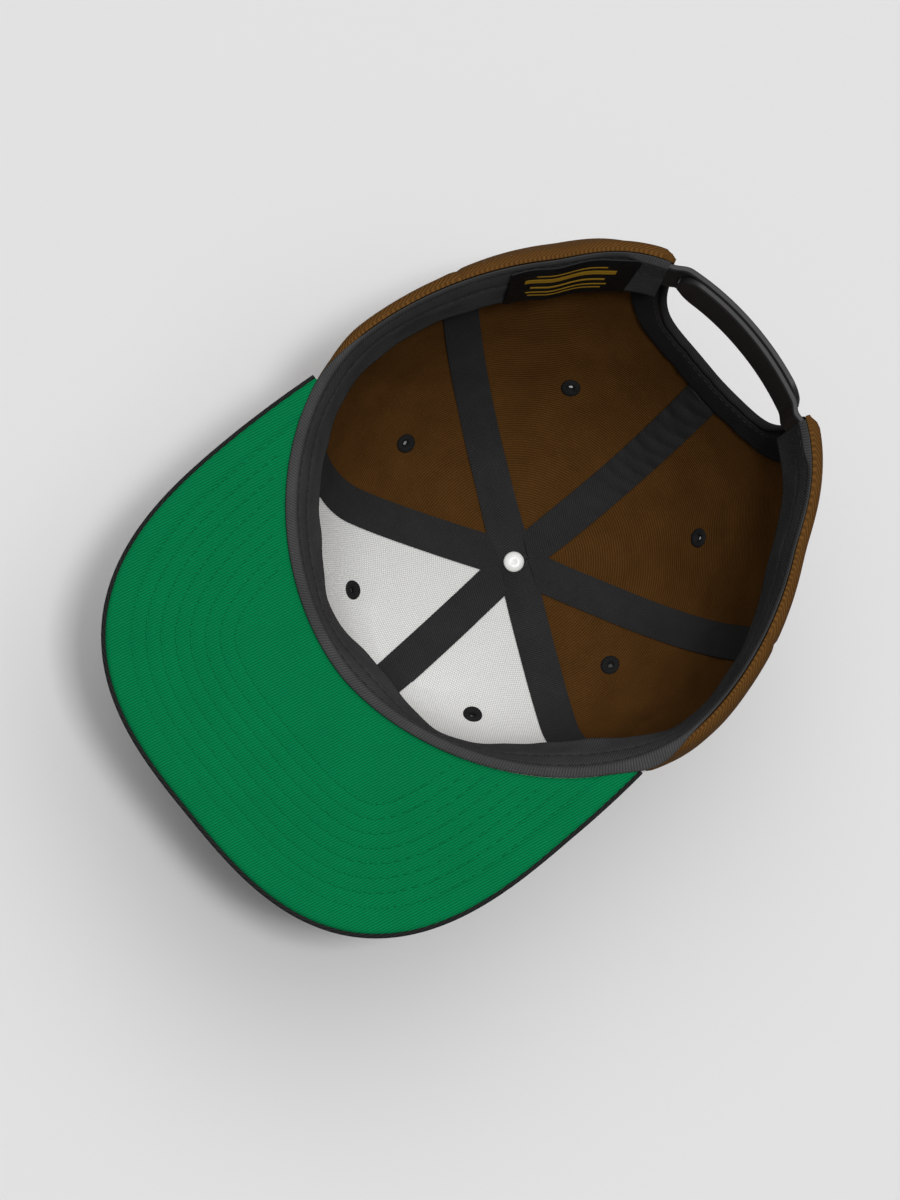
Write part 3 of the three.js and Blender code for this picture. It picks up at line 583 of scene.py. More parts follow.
def cells(rows, columns, wrap=False):
    """The corner numbers of a grid's cells, as an array of shape (rows, columns, 4)."""
    j, i = np.meshgrid(np.arange(rows), np.arange(columns), indexing="ij")
    width = columns if wrap else columns + 1
    right = (i + 1) % width
    return np.stack([j * width + i, j * width + right, (j + 1) * width + right, (j + 1) * width + i], -1)


def cell_corners(grid):
    """The values at the four corners of every cell of a grid."""
    return np.stack([grid[:-1, :-1], grid[1:, :-1], grid[:-1, 1:], grid[1:, 1:]])


def thick_sheet(front, back, keep=None):
    """A closed body between two grids of points. Gives points, faces and each face's side."""
    rows, columns = front.shape[0] - 1, front.shape[1] - 1
    grid = cells(rows, columns)
    kept = grid[np.ones((rows, columns), bool) if keep is None else keep]
    count = front.shape[0] * front.shape[1]
    edges = {}
    for face in kept.tolist():
        for a, b in zip(face, face[1:] + face[:1]):
            if (b, a) in edges:
                del edges[(b, a)]
            else:
                edges[(a, b)] = True
    sides = [(b, a, a + count, b + count) for a, b in edges]
    faces = kept.tolist() + (kept[:, ::-1] + count).tolist() + sides
    marks = [0] * len(kept) + [1] * len(kept) + [2] * len(sides)
    points = np.concatenate([front.reshape(-1, 3), back.reshape(-1, 3)])
    return points, faces, marks


def sheet_uv(u, v):
    """UV coordinates for both sides of a thick sheet."""
    side = np.stack(np.broadcast_arrays(u, v), -1).reshape(-1, 2)
    return np.concatenate([side, side])


def swept(rings):
    """A closed body through rings of points, an array of shape (stations, sides, 3)."""
    stations, sides = rings.shape[:2]
    faces = cells(stations - 1, sides, wrap=True).reshape(-1, 4).tolist()
    faces.append(list(range(sides))[::-1])
    faces.append([(stations - 1) * sides + i for i in range(sides)])
    return rings.reshape(-1, 3), faces


def ring_lengths(rings):
    """Distances in millimetres along a swept body and round it, as UV coordinates."""
    u = distance_along(rings.mean(1))
    v = distance_along(rings[len(rings) // 2])
    return np.stack(np.meshgrid(u, v, indexing="ij"), -1).reshape(-1, 2)


def lathe(outline, sides, place, direction, ribs=0.0):
    """A ring-shaped body of revolution from rows of radius and rise, set along a direction."""
    outline = np.array(outline, float)
    turn = np.linspace(0, 2 * math.pi, sides, endpoint=False)[:, None, None]
    swell = 1.0 + ribs * (np.arange(sides) % 2)[:, None, None]
    radius, rise = outline[None, :, :1], outline[None, :, 1:]
    helper = np.array([1.0, 0.0, 0.0]) if abs(direction[0]) < 0.9 else np.array([0.0, 1.0, 0.0])
    side = unit(np.cross(helper, direction))
    up = np.cross(direction, side)
    points = place + radius * np.cos(turn) * side + radius * np.sin(turn) * up + rise * swell * direction
    here = np.arange(sides * len(outline)).reshape(sides, -1)
    later = np.roll(here, -1, axis=1)
    faces = np.stack([here, np.roll(here, -1, axis=0), np.roll(later, -1, axis=0), later], -1)
    return points.reshape(-1, 3), faces.reshape(-1, 4).tolist()


def joined(bodies):
    """The points and faces of several bodies as one."""
    points, faces = [], []
    count = 0
    for body, body_faces in bodies:
        points.append(body)
        faces += [[i + count for i in face] for face in body_faces]
        count += len(body)
    return np.concatenate(points), faces


def facing_out(points, faces):
    """Turns all the faces round if the body is inside out."""
    fans = np.array([(face[0], b, c) for face in faces for b, c in zip(face[1:-1], face[2:])])
    first, second, third = (points[fans[:, k]] for k in range(3))
    volume = np.sum(first * np.cross(second, third))
    return faces if volume > 0 else [list(face)[::-1] for face in faces]


def make_piece(name, points, faces, materials, slot, nodes=(), uv=None, marks=None, crease=50.0):
    """A closed body in level millimetres, as a piece that rides on the cap's one body.

    marks are the faces' numbers of material. Edges above the crease angle in degrees stay crisp.
    """
    mesh = bpy.data.meshes.new(name)
    mesh.from_pydata(tipped(points).tolist(), [], facing_out(points, faces))
    for material in materials:
        mesh.materials.append(material)
    if marks is not None:
        mesh.polygons.foreach_set("material_index", np.asarray(marks, dtype=np.int32))
    if uv is not None:
        layer = mesh.uv_layers.new(name="UVMap")
        corner = np.zeros(len(mesh.loops), dtype=np.int32)
        mesh.loops.foreach_get("vertex_index", corner)
        layer.data.foreach_set("uv", np.asarray(uv, dtype=np.float32)[corner].ravel())
    mesh.validate()
    mesh.update()
    mesh.shade_smooth()
    mesh.set_sharp_from_angle(angle=math.radians(crease))
    piece = bpy.data.objects.new(name, mesh)
    bpy.context.scene.collection.objects.link(piece)
    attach(piece, "root")
    if nodes:
        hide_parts(*nodes)


def make_swept(name, rings, material, slot, node, crease=50.0):
    """A piece swept through rings of points, with its lengths as UV coordinates."""
    points, faces = swept(rings)
    make_piece(name, points, faces, [material], slot, [node], ring_lengths(rings), crease=crease)


# Materials.

def add_node(tree, kind, inputs, **values):
    """A node with its values, and with inputs that are linked to sockets or set to numbers."""
    node = tree.nodes.new(kind)
    for key, value in values.items():
        setattr(node, key, value)
    for key, value in inputs.items():
        if isinstance(value, bpy.types.NodeSocket):
            tree.links.new(value, node.inputs[key])
        else:
            node.inputs[key].default_value = value
    return node


def shader(name, roughness, specular):
    material = bpy.data.materials.new(name)
    material.use_nodes = True
    principled = material.node_tree.nodes["Principled BSDF"]
    principled.inputs["Roughness"].default_value = roughness
    principled.inputs["Specular IOR Level"].default_value = specular
    return material, material.node_tree, principled


def waves(tree, source, pitch, degrees):
    """Bands of a pitch in millimetres across the UV map, turned by an angle."""
    turned = {"Vector": source, "Rotation": (0.0, 0.0, math.radians(degrees))}
    mapping = add_node(tree, "ShaderNodeMapping", turned)
    bands = {
        "Vector": mapping.outputs["Vector"], "Scale": (2 * math.pi / 20.0) / pitch,
        "Distortion": 0.6, "Detail": 1.0, "Detail Scale": 1.5,
    }
    kind = "ShaderNodeTexWave"
    return add_node(tree, kind, bands, wave_type="BANDS", bands_direction="X").outputs["Fac"]


def noise(tree, source, scale, detail):
    inputs = {"Vector": source, "Scale": scale, "Detail": detail, "Roughness": 0.6}
    return add_node(tree, "ShaderNodeTexNoise", inputs).outputs["Fac"]


def mixed(tree, blend, factor, first, second):
    """A colour mix whose inputs are sockets, numbers or colours."""
    inputs = {0: factor, 6: first, 7: second}
    kind = "ShaderNodeMix"
    node = add_node(tree, kind, inputs, data_type="RGBA", blend_type=blend, clamp_factor=True)
    return node.outputs[2]


def ramp(tree, source, stops):
    """Grey levels at two stops of a socket's value."""
    node = add_node(tree, "ShaderNodeValToRGB", {"Fac": source})
    for element, (position, level) in zip(node.color_ramp.elements, stops):
        element.position = position
        element.color = (level, level, level, 1.0)
    return node.outputs["Color"]


def finish_shader(tree, principled, colour, height, strength, depth):
    """Links a colour and the relief of a height socket, whose depth is in millimetres."""
    tree.links.new(colour, principled.inputs["Base Color"])
    relief = {"Strength": strength, "Distance": depth / MM_PER_METRE, "Height": height}
    bump = add_node(tree, "ShaderNodeBump", relief)
    tree.links.new(bump.outputs["Normal"], principled.inputs["Normal"])


def woven(name, colour, pitch, degrees, depth, roughness=0.9, specular=0.04, cross=False,
          patch=0.12, slub=0.1):
    """Cloth: a base colour, yarns at a pitch and an angle with painted shade darkening the grooves
    between them, cloudy changes of tone and lighter slubs.
    """
    material, tree, principled = shader(name, roughness, specular)
    uv = add_node(tree, "ShaderNodeTexCoord", {}).outputs["UV"]
    yarn = waves(tree, uv, pitch, degrees)
    if cross:
        yarn = mixed(tree, "MULTIPLY", 1.0, yarn, waves(tree, uv, pitch, degrees + 90.0))
    fleck = noise(tree, uv, 1.1 / pitch, 2.0)
    lighter = [min(1.0, 1.5 * c) for c in colour]
    # The darker copy of the colour mixed in between the yarns is painted shade of their grooves.
    groove_shade = [0.62 * c for c in colour]
    top = ramp(tree, yarn, [(0.15, 0.0), (0.85, 1.0)])
    base = mixed(tree, "MIX", top, (*groove_shade, 1.0), (*colour, 1.0))
    tone = ramp(tree, noise(tree, uv, 0.05, 4.0), [(0.3, 0.2), (0.7, 1.0)])
    clouded = mixed(tree, "MULTIPLY", patch, base, tone)
    slubs = ramp(tree, fleck, [(0.6, 0.0), (0.72, slub * 4)])
    final = mixed(tree, "MIX", slubs, clouded, (*lighter, 1.0))
    finish_shader(tree, principled, final, mixed(tree, "ADD", 0.35, yarn, fleck), 0.9, depth)
    return material


def moulded(name, colour, roughness, specular):
    """Plastic or enamel with soft changes of tone and fine scuffs."""
    material, tree, principled = shader(name, roughness, specular)
    place = add_node(tree, "ShaderNodeTexCoord", {}).outputs["Object"]
    tone = ramp(tree, noise(tree, place, 90.0, 4.0), [(0.3, 0.75), (0.7, 1.0)])
    final = mixed(tree, "MULTIPLY", 1.0, (*colour, 1.0), tone)
    finish_shader(tree, principled, final, noise(tree, place, 1400.0, 3.0), 0.25, 0.1)
    return material


# The lining's strong cloudy darkening is partly random tone and partly painted shade of soft creases.
BROWN_IN = woven("brown_lining_side", (0.101, 0.0435, 0.0102), 0.95, 90.0, 0.16, patch=0.36)
BROWN_OUT = woven("brown_twill", (0.122, 0.055, 0.0135), 1.1, 52.0, 0.28)
WHITE_OUT = woven("white_twill", (0.8, 0.8, 0.78), 1.2, 52.0, 0.25)
BUCKRAM = woven("white_buckram", (0.92, 0.92, 0.9), 0.8, 0.0, 0.06, cross=True, patch=0.05, slub=0.02)
TAPE_CLOTH = woven("dark_tape", (0.033, 0.033, 0.0335), 0.8, 62.0, 0.08, patch=0.3)
BAND_CLOTH = woven("dark_band", (0.066, 0.066, 0.0665), 0.9, 20.0, 0.10, patch=0.35)
BINDING_CLOTH = woven("dark_binding", (0.021, 0.021, 0.0212), 0.8, 35.0, 0.1, patch=0.3)
LIP_CLOTH = woven("dark_rib", (0.022, 0.022, 0.022), 1.5, 60.0, 0.35, patch=0.2)
GREEN_CLOTH = woven("green_twill", (0.0012, 0.186, 0.06), 0.9, 12.0, 0.12, patch=0.1, slub=0.09)
GREEN_THREAD = woven("green_thread", (0.002, 0.215, 0.07), 0.5, 0.0, 0.05)
SATIN = woven("black_satin", (0.0032, 0.0032, 0.0035), 0.5, 90.0, 0.03, roughness=0.55, specular=0.15)
GOLD_THREAD = woven("gold_thread", (0.42, 0.235, 0.02), 0.6, 90.0, 0.1, roughness=0.6)
DARK_THREAD = woven("dark_thread", (0.038, 0.038, 0.038), 0.5, 45.0, 0.05)
EYELET_THREAD = woven("eyelet_thread", (0.02, 0.02, 0.0205), 0.6, 45.0, 0.12)
# Dark green painted shade for the visor's needle holes, a darker copy of its green.
NEEDLE_HOLE_SHADE_CLOTH = woven("painted_hole_shade", (0.001, 0.05, 0.018), 0.5, 45.0, 0.02)
PLASTIC = moulded("strap_plastic", (0.014, 0.014, 0.0145), 0.5, 0.3)
ENAMEL = moulded("white_enamel", (0.92, 0.92, 0.9), 0.3, 0.5)


# Crown panels.

def cloth_waves(right, ahead):
    """Soft unevenness of unstiffened cloth over the disc, in millimetres."""
    wide = np.sin(21.0 * right + 9.0 * ahead + 1.5 * np.sin(13.0 * ahead))
    cross = np.sin(17.0 * ahead - 11.0 * right + 1.2 * np.sin(19.0 * right + 0.7))
    fine = np.sin(38.0 * right + 4.0) * np.sin(33.0 * ahead + 1.0)
    return CLOTH_WAVE * (0.5 * wide + 0.5 * cross + 0.35 * fine)


def seam_shape(aside, angle, drop):
    """How far the outer cloth lies in, dipped at a seam and swollen at the rolled hem."""
    dip = SEAM_DIP * bell(aside, SEAM_DIP_WIDTH)
    swell = HEM_SWELL + HEM_END_SWELL * arch_nearness(angle, HEM_END_REACH)
    swell *= (1.0 - arch_nearness(angle, HEM_LEG_REACH)) * (1.0 - beside_visor(np.degrees(angle)))
    rounding = HEM_ROUNDING * smoothstep(-drop, -2.2, -0.2)
    return dip - swell * bell(drop - HEM_MIDDLE, HEM_HALF_WIDTH) + rounding


def panel_grid(start, end):
    """A panel's grid of angles and spans, with the angles of its two seams, all in radians."""
    once_round = 360.0 if SEAMS[end] < SEAMS[start] else 0.0
    across = np.linspace(0.0, 1.0, PANEL_COLUMNS + 1)
    straight = np.radians(SEAMS[start] + (SEAMS[end] + once_round - SEAMS[start]) * across)
    first = np.array([span_at_reach(angle, APEX_HOLE) for angle in straight])
    last = span_at_drop(HEM_DROP + HEM_CORNER * arch_nearness(straight, HEM_CORNER_REACH))
    span = first + (last - first) * np.linspace(0.0, 1.0, PANEL_ROWS + 1)[:, None]
    low = seam_angle(start, span)
    high = seam_angle(end, span) + once_round
    return np.radians(low + (high - low) * across), span, np.radians(low), np.radians(high)


def open_arch(angle, span, drop):
    """Moves corners inside the arch out to its edge. Gives the grid and which cells are hidden."""
    around = np.degrees(np.mod(angle, 2 * math.pi))
    measure = arch_measure(around, drop)
    inside = measure < 1.0
    hidden = cell_corners(inside).all(0)
    shown = inside & ~cell_corners(np.pad(hidden, 1, constant_values=True)).all(0)
    grown = 1.0 / np.maximum(measure, 1e-6)
    moved_angle = np.radians(ARCH_CENTRE + (around - ARCH_CENTRE) * grown)
    moved_span = span_at_drop(np.minimum(drop * grown, ARCH_HEIGHT))
    angle = np.where(shown, moved_angle, angle)
    span = np.where(shown, moved_span, span)
    return angle, span, np.where(shown, drop * grown, drop), hidden


def make_panel(name, start, end, eyelet_angle, eyelet_span):
    """A sewn panel. The front panels are white and stiff, the others brown with soft folds."""
    front = name.startswith("front")
    angle, span, low, high = panel_grid(start, end)
    middle = (angle[0, 0] + angle[0, -1]) / 2
    drop = CROWN_DEPTH * (1.0 - section_value(HEIGHT, span))
    angle, span, drop, hidden = open_arch(angle, span, drop)
    reach = rim_reach(angle) * crown_share(angle, span)
    aside = np.minimum(np.abs(angle - low), np.abs(angle - high)) * reach
    right = span * np.sin(angle)
    ahead = span * np.cos(angle)
    outer = crown_point(right, ahead, seam_shape(aside, angle, drop))
    softness = 0.0 if front else smoothstep(span, 0.06, 0.2) * smoothstep(drop, 1.0, 8.0)
    unevenness = cloth_waves(right, ahead) + dent_depth(angle, span, FOLDS)
    inner = crown_point(right, ahead, WALL + LINING_GAP + softness * unevenness)

    eyelet = crown_outer(*disc_place(eyelet_angle, eyelet_span))
    off_eyelet = np.linalg.norm(crown_outer(right, ahead) - eyelet, axis=-1)
    keep = ~hidden & (cell_corners(off_eyelet).mean(0) > EYELET_CUT)
    points, faces, marks = thick_sheet(outer, inner, keep)
    uv = sheet_uv(reach * np.sin(angle - middle), distance_along(outer))
    materials = [BUCKRAM, WHITE_OUT] if front else [BROWN_IN, BROWN_OUT]
    make_piece("cloth_" + name, points, faces, materials, "white_cloth" if front else "brown_cloth",
               ["panel_" + name], uv, [0 if mark == 1 else 1 for mark in marks], crease=60.0)


for panel in PANELS:
    make_panel(*panel)


# Eyelets.

def make_eyelet(name, angle, span):
    place = disc_place(angle, span)
    inward = crown_frame(*place)[2]
    points, faces = lathe(EYELET_OUTLINE, EYELET_SIDES, crown_outer(*place), inward, EYELET_RIBS)
    make_piece("ring_" + name, points, faces, [EYELET_THREAD], "black_cloth", ["eyelet_" + name],
               points[:, :2], crease=SOFT)


for panel in PANELS:
    make_eyelet(panel[0], panel[3], panel[4])


# Stitches.

def stitch_body(start, end, normal, radius, rise):
    """One thread stitch as a low spindle from start to end."""
    along = end - start
    aside = unit(np.cross(normal, along))
    turns = np.linspace(0, 2 * math.pi, STITCH_SIDES, endpoint=False)
    rings = []
    for t in np.linspace(0.0, 1.0, STITCH_STATIONS):
        bow = math.sin(math.pi * t)
        thick = radius * max(0.25, bow**0.4)
        centre = start + along * t + normal * (rise * bow**0.6 - radius * 0.4)
        rings.append([centre + aside * math.cos(turn) * thick + normal * math.sin(turn) * thick * 0.8
                      for turn in turns])
    return swept(np.array(rings))


def stitches(name, paths, material, slot, sizes):
    """Stitches along paths. Each path is an array of points and an array of normals."""
    pitch, length, radius, rise = sizes
    bodies = []
    for line, normals in paths:
        lengths = distance_along(line)
        at = pitch * 0.5
        while at + length < lengths[-1]:
            start = on_line(at, lengths, line)
            end = on_line(at + length, lengths, line)
            normal = unit(on_line(at + length / 2, lengths, normals))
            bodies.append(stitch_body(start, end, normal, radius, rise))
            at += pitch
    points, faces = joined(bodies)
    make_piece(name, points, faces, [material], slot, uv=points[:, :2], crease=SOFT)


# Tapes over the seams.

def make_tape(name, angle, span, low, high, pucker):
    """A folded tape inside the crown, between low and high in millimetres aside of a line.

    pucker is the height in millimetres of the wrinkles that cross the tape.
    """
    columns = np.linspace(0.0, 1.0, TAPE_COLUMNS + 1)
    aside = low[:, None] + (high - low)[:, None] * columns
    right, ahead = beside_line(angle[:, None], span[:, None], aside)
    place = np.arange(len(span))[:, None]
    slant = 2.0 * columns - 1.0
    wrinkle = np.abs(np.sin(0.4 * place + 1.1 * slant)) - 1.0
    wrinkle = wrinkle + 0.7 * np.abs(np.sin(0.27 * place - 0.8 * slant + 1.7))
    rolled = 0.25 * smoothstep(np.minimum(columns, 1 - columns), 0.0, 0.06)
    rise = TAPE_CROWN * bell(aside, TAPE_CROWN_WIDTH) + rolled + pucker * wrinkle
    top = crown_point(right, ahead, TAPE_INSET + TAPE_THICKNESS * 0.6 + rise)
    bottom = crown_point(right, ahead, np.full(aside.shape, TAPE_INSET - 0.1))
    points, faces, _ = thick_sheet(bottom, top)
    uv = sheet_uv(aside, distance_along(top[:, TAPE_COLUMNS // 2])[:, None])
    make_piece("cloth_" + name, points, faces, [TAPE_CLOTH], "black_cloth", [name], uv)


def make_long_tape():
    """The tape along the left rear seam, over the apex and along the right front seam."""
    spans = np.linspace(LONG_TAPE_START, span_at_drop(TAPE_RIM_DROP), LONG_TAPE_ROWS)
    back = seam_angle("left_rear", spans)[::-1]
    angle = np.radians(np.concatenate([back, seam_angle("right_front", spans)]))
    half = TAPE_WIDTH / 2 * np.repeat([-1.0, 1.0], LONG_TAPE_ROWS)
    spans = np.concatenate([spans[::-1], spans])
    make_tape("tape_long", angle, spans, -half, half, LONG_TAPE_PUCKER)


def make_side_tape(name, seam, next_seam, end_drop, pucker):
    """A tape from the long tape's edge out. Its tip lies between the long tape and the next tape."""
    to_rear = float(bearing(SEAMS["left_rear"] - SEAMS[seam]))
    to_front = float(bearing(SEAMS["right_front"] - SEAMS[seam]))
    to_long = min(to_rear, to_front, key=abs)
    apart = math.radians(abs(to_long))
    half_turn = math.radians(abs(float(bearing(SEAMS[next_seam] - SEAMS[seam]))) / 2)
    half = TAPE_WIDTH / 2
    start = span_at_reach(math.radians(SEAMS[seam]), SIDE_TAPE_START)
    spans = np.linspace(start, span_at_drop(end_drop), TAPE_ROWS)
    angle = np.radians(seam_angle(seam, spans))
    reach = rim_reach(angle) * crown_share(angle, spans)
    to_edge = (reach * math.sin(apart) - half + TIP_OVER_LONG_TAPE) / math.cos(apart)
    long_side = np.minimum(half, to_edge)
    next_side = np.minimum(half, reach * math.tan(half_turn) + TIP_OVER_NEXT_TAPE)
    keep = long_side + next_side > 0.5
    low, high = (-long_side, next_side) if to_long < 0 else (-next_side, long_side)
    make_tape(name, angle[keep], spans[keep], low[keep], high[keep], pucker)


make_long_tape()
for tape in SIDE_TAPES:
    make_side_tape(*tape)


# Bound edge of the arch: a rolled edge with a flat tape inside the crown.

def first_arch_turn():
    """The turn at which the arch's edge comes clear of the strap."""
    def drop_at(share):
        turn = share * math.pi / 2
        return ARCH_HEIGHT * arch_scale(turn) * math.sin(turn)

    return share_where(drop_at, STRAP_DROP + STRAP_WIDTH + BINDING_OVER_STRAP) * math.pi / 2


def binding_section():
    """Rows of distance from the arch's edge and depth, over the roll and round the flat tape."""
    face = BINDING_DEPTH + 1.2
    back = BINDING_DEPTH - 0.3
    section = []
    for degrees in range(200, -21, -20):
        turn = math.radians(degrees)
        depth = (WALL + 1.2) / 2 - 0.3 - (BINDING_ROLL + 0.1) * math.cos(turn)
        section.append((-0.5 - BINDING_ROLL * math.sin(turn) * 0.75, depth))
    section += [(1.6, face - 0.2), (2.4, face), (5.0, face + 0.15), (8.0, face + 0.1), (11.5, face)]
    section += [(BINDING_WIDTH - 0.3, face - 0.1), (BINDING_WIDTH, face - 0.5)]
    section += [(BINDING_WIDTH, back), (6.0, back), (0.5, back + 0.1)]
    return section, face


def make_binding():
    turns = np.linspace(first_arch_turn(), math.pi - first_arch_turn(), BINDING_STATIONS)
    right, ahead = arch_place(turns)
    step = 0.02
    along = crown_outer(*arch_place(turns + step)) - crown_outer(*arch_place(turns - step))
    inward = crown_frame(right, ahead)[2]
    from_edge = unit(np.cross(inward, along))
    place = np.arange(BINDING_STATIONS)
    wobble = 0.12 * np.sin(0.5 * place) + 0.1 * np.sin(0.23 * place + 1.0)

    def at(distance, depth):
        moved = crown_move(right, ahead, from_edge, distance)
        return crown_point(*moved, depth + wobble * (depth > WALL))

    section, face = binding_section()
    rings = np.stack([at(distance, depth) for distance, depth in section], 1)
    make_swept("cloth_opening_binding", rings, BINDING_CLOTH, "black_cloth", "opening_binding")
    seam = at(2.3, face), inward
    stitches("binding_stitches", [seam], DARK_THREAD, "black_cloth", BINDING_STITCH)


make_binding()


# Sweatband.
BAND_FROM = ARCH_CENTRE + ARCH_HALF_ANGLE + BAND_END_MARGIN - 360.0
BAND_TO = ARCH_CENTRE - ARCH_HALF_ANGLE - BAND_END_MARGIN


def band_profile():
    """The band's whole section as drop, stand, lean, reach over the seam and clearance off tabs."""
    rows = [(drop, stand, 0.0, over, NO_TAB) for drop, stand, over in BAND_FOLD]
    for off_tabs, side in BAND_SIDES:
        rows += [(drop, stand, lean, 0.0, off_tabs) for drop, stand, lean in side]
    return rows + [(drop, stand, 0.0, over, NO_TAB) for drop, stand, over in BAND_FOOT]


def band_point(degrees, drop, stand, lean, over, off_tabs):
    around = np.radians(degrees)
    wave = 0.22 * np.sin(around * 13.0 + drop * 0.12) + 0.15 * np.sin(around * 29.0 - drop * 0.3)
    inset = stand + lean * lean_at(degrees) + wave * smoothstep(drop, 4.0, 20.0)
    along_visor = beside_visor(degrees)
    past_horn = bell(degrees - VISOR_END_ANGLE - HORN_COVER_TURN, HORN_COVER_SPREAD)
    in_by = HEM_REVEAL * (1 - along_visor) - BAND_OVER_VISOR * along_visor
    inset += over * (in_by - HORN_COVER * past_horn)
    from_end = np.minimum(degrees - BAND_FROM, BAND_TO - degrees)
    at_tab = 1 - smoothstep(from_end, STRAP_TAB_ANGLE, 2 * STRAP_TAB_ANGLE)
    tab_face = WALL + STRAP_INSET + STRAP_THICKNESS + STRAP_LEAN * (drop - STRAP_DROP)
    return rim_point(degrees, inset + at_tab * np.maximum(tab_face + off_tabs - inset, 0.0), drop)


def make_sweatband():
    degrees = np.linspace(BAND_FROM, BAND_TO, BAND_STEPS)
    rings = np.stack([band_point(degrees, *row) for row in band_profile()], 1)
    make_swept("cloth_sweatband", rings, BAND_CLOTH, "black_cloth", "sweatband", crease=70.0)
    seams = []
    for drop, stand, lean in BAND_SEAMS:
        line = band_point(degrees, drop, stand, lean, 0.0, BAND_SEAM_OFF_TABS)
        inward = -unit(line * np.array([1.0, 1.0, 0.0]))
        seams.append((line, unit(inward + 0.5 * UP)))
    stitches("band_stitches", seams, DARK_THREAD, "black_cloth", BAND_STITCH)


make_sweatband()


# Label: black satin with plain gold stripes.
LABEL_TURN = math.degrees(LABEL_LENGTH / float(rim_reach(math.radians(LABEL_ANGLE))))


def label_point(degrees, drop, stand):
    """A place on the label, which leans with the band and whose ends slant."""
    slanted = degrees + LABEL_SLANT * (drop / BAND_HEIGHT - 0.5)
    warp = 0.3 * np.sin((degrees - LABEL_ANGLE) * 0.5) + 0.2 * np.sin(drop * 0.4)
    foot = 3.3 + 0.6 * smoothstep(drop, 1.0, 6.0)
    return rim_point(slanted, foot + stand + warp + lean_at(slanted) * drop / BAND_HEIGHT, drop)


def label_sheet(share, columns, drops, front, back):
    """A sheet on the label over a share of its length. Gives its angles, drops, points and faces."""
    degrees = LABEL_ANGLE + LABEL_TURN * share * (np.linspace(0, 1, columns) - 0.5)
    d, h = np.meshgrid(degrees, drops)
    points, faces, _ = thick_sheet(label_point(d, h, front), label_point(d, h, back))
    return d, h, points, faces


def make_label():
    drops = np.linspace(LABEL_MARGIN, BAND_HEIGHT - 0.4, LABEL_ROWS)
    d, h, points, faces = label_sheet(1.0, LABEL_COLUMNS, drops, 0.9, 0.5)
    uv = sheet_uv((d - LABEL_ANGLE) / LABEL_TURN * LABEL_LENGTH, h)
    make_piece("cloth_label", points, faces, [SATIN], "black_satin", ["label"], uv)


def make_stripes():
    bodies, uvs = [], []
    for drop, half, share in STRIPES:
        drops = np.linspace(drop - half, drop + half, STRIPE_ROWS)
        d, h, points, faces = label_sheet(share, STRIPE_COLUMNS, drops, 1.0, 0.6)
        bodies.append((points, faces))
        uvs.append(sheet_uv((d - LABEL_ANGLE) * 1.7, h))
    make_piece("label_stripes", *joined(bodies), [GOLD_THREAD], "black_satin", uv=np.concatenate(uvs))


make_label()
make_stripes()


# Visor.

def visor_outline(q):
    """The outer outline from the left horn at -1 to the right horn at 1, as level x and y."""
    side = np.sign(q)
    seam_end = rim_point(side * VISOR_END_ANGLE, -VISOR_SEAM, 0.0)
    turn = np.clip(q / VISOR_ROUND_PART, -1.0, 1.0) * math.pi / 2
    power = 2.0 / VISOR_ROUNDNESS
    ahead = np.abs(np.cos(turn)) ** power
    x = np.sign(turn) * VISOR_HALF_WIDTH * np.abs(np.sin(turn)) ** power + VISOR_SKEW * ahead
    y = -VISOR_WIDEST_AHEAD - (VISOR_REACH - VISOR_WIDEST_AHEAD) * ahead
    t = np.clip((np.abs(q) - VISOR_ROUND_PART) / (1.0 - VISOR_ROUND_PART), 0.0, 1.0)
    straight = np.abs(q) > VISOR_ROUND_PART
    horn = seam_end[..., 0] + side * VISOR_HORN_WIDTH
    x = np.where(straight, side * VISOR_HALF_WIDTH + (horn - side * VISOR_HALF_WIDTH) * t**2, x)
    y = np.where(straight, -VISOR_WIDEST_AHEAD + (seam_end[..., 1] + VISOR_WIDEST_AHEAD) * t, y)
    return np.stack([x, y], -1)


def dense_outline():
    """Distances, places and inward normals of the outer outline at even steps."""
    line = visor_outline(np.linspace(-1, 1, 4001))
    lengths = distance_along(line)
    even = np.linspace(0, lengths[-1], OUTLINE_STEPS)
    line = on_line(even, lengths, line)
    along = unit(np.gradient(line, axis=0))
    return even, line, np.stack([-along[:, 1], along[:, 0]], -1)


OUTLINE_S, OUTLINE, OUTLINE_NORMAL = dense_outline()


def visor_lift(x, y):
    """The visor's rise towards its tip and its horns."""
    seam_end = rim_point(VISOR_END_ANGLE, -VISOR_SEAM, 0.0)
    slope = math.tan(VISOR_RISE)
    side = slope * (FRONT_REACH + float(seam_end[1])) / float(seam_end[0]) ** 2
    return -slope * (y + FRONT_REACH) + side * x * x


def visor_seam_point(degrees, drop):
    """A point of the visor's seam, just outside the crown."""
    angle = np.radians(degrees)
    span = span_at_drop(drop)
    point = crown_outer(span * np.sin(angle), span * np.cos(angle))
    point[..., :2] *= 1 + VISOR_SEAM / np.hypot(point[..., 0], point[..., 1])[..., None]
    return point


def visor_columns(count):
    """The outer outline's places, its inward normals and the seam's angles from horn to horn."""
    share = np.linspace(0.0, 1.0, count)
    at = share * OUTLINE_S[-1]
    normal = unit(on_line(at, OUTLINE_S, OUTLINE_NORMAL))
    return on_line(at, OUTLINE_S, OUTLINE), normal, (2 * share - 1) * VISOR_END_ANGLE


def visor_height(xy, degrees):
    inner = rim_point(degrees, -VISOR_SEAM, 0.0)
    return CROWN_DEPTH + visor_lift(xy[..., 0], xy[..., 1]) - visor_lift(inner[..., 0], inner[..., 1])


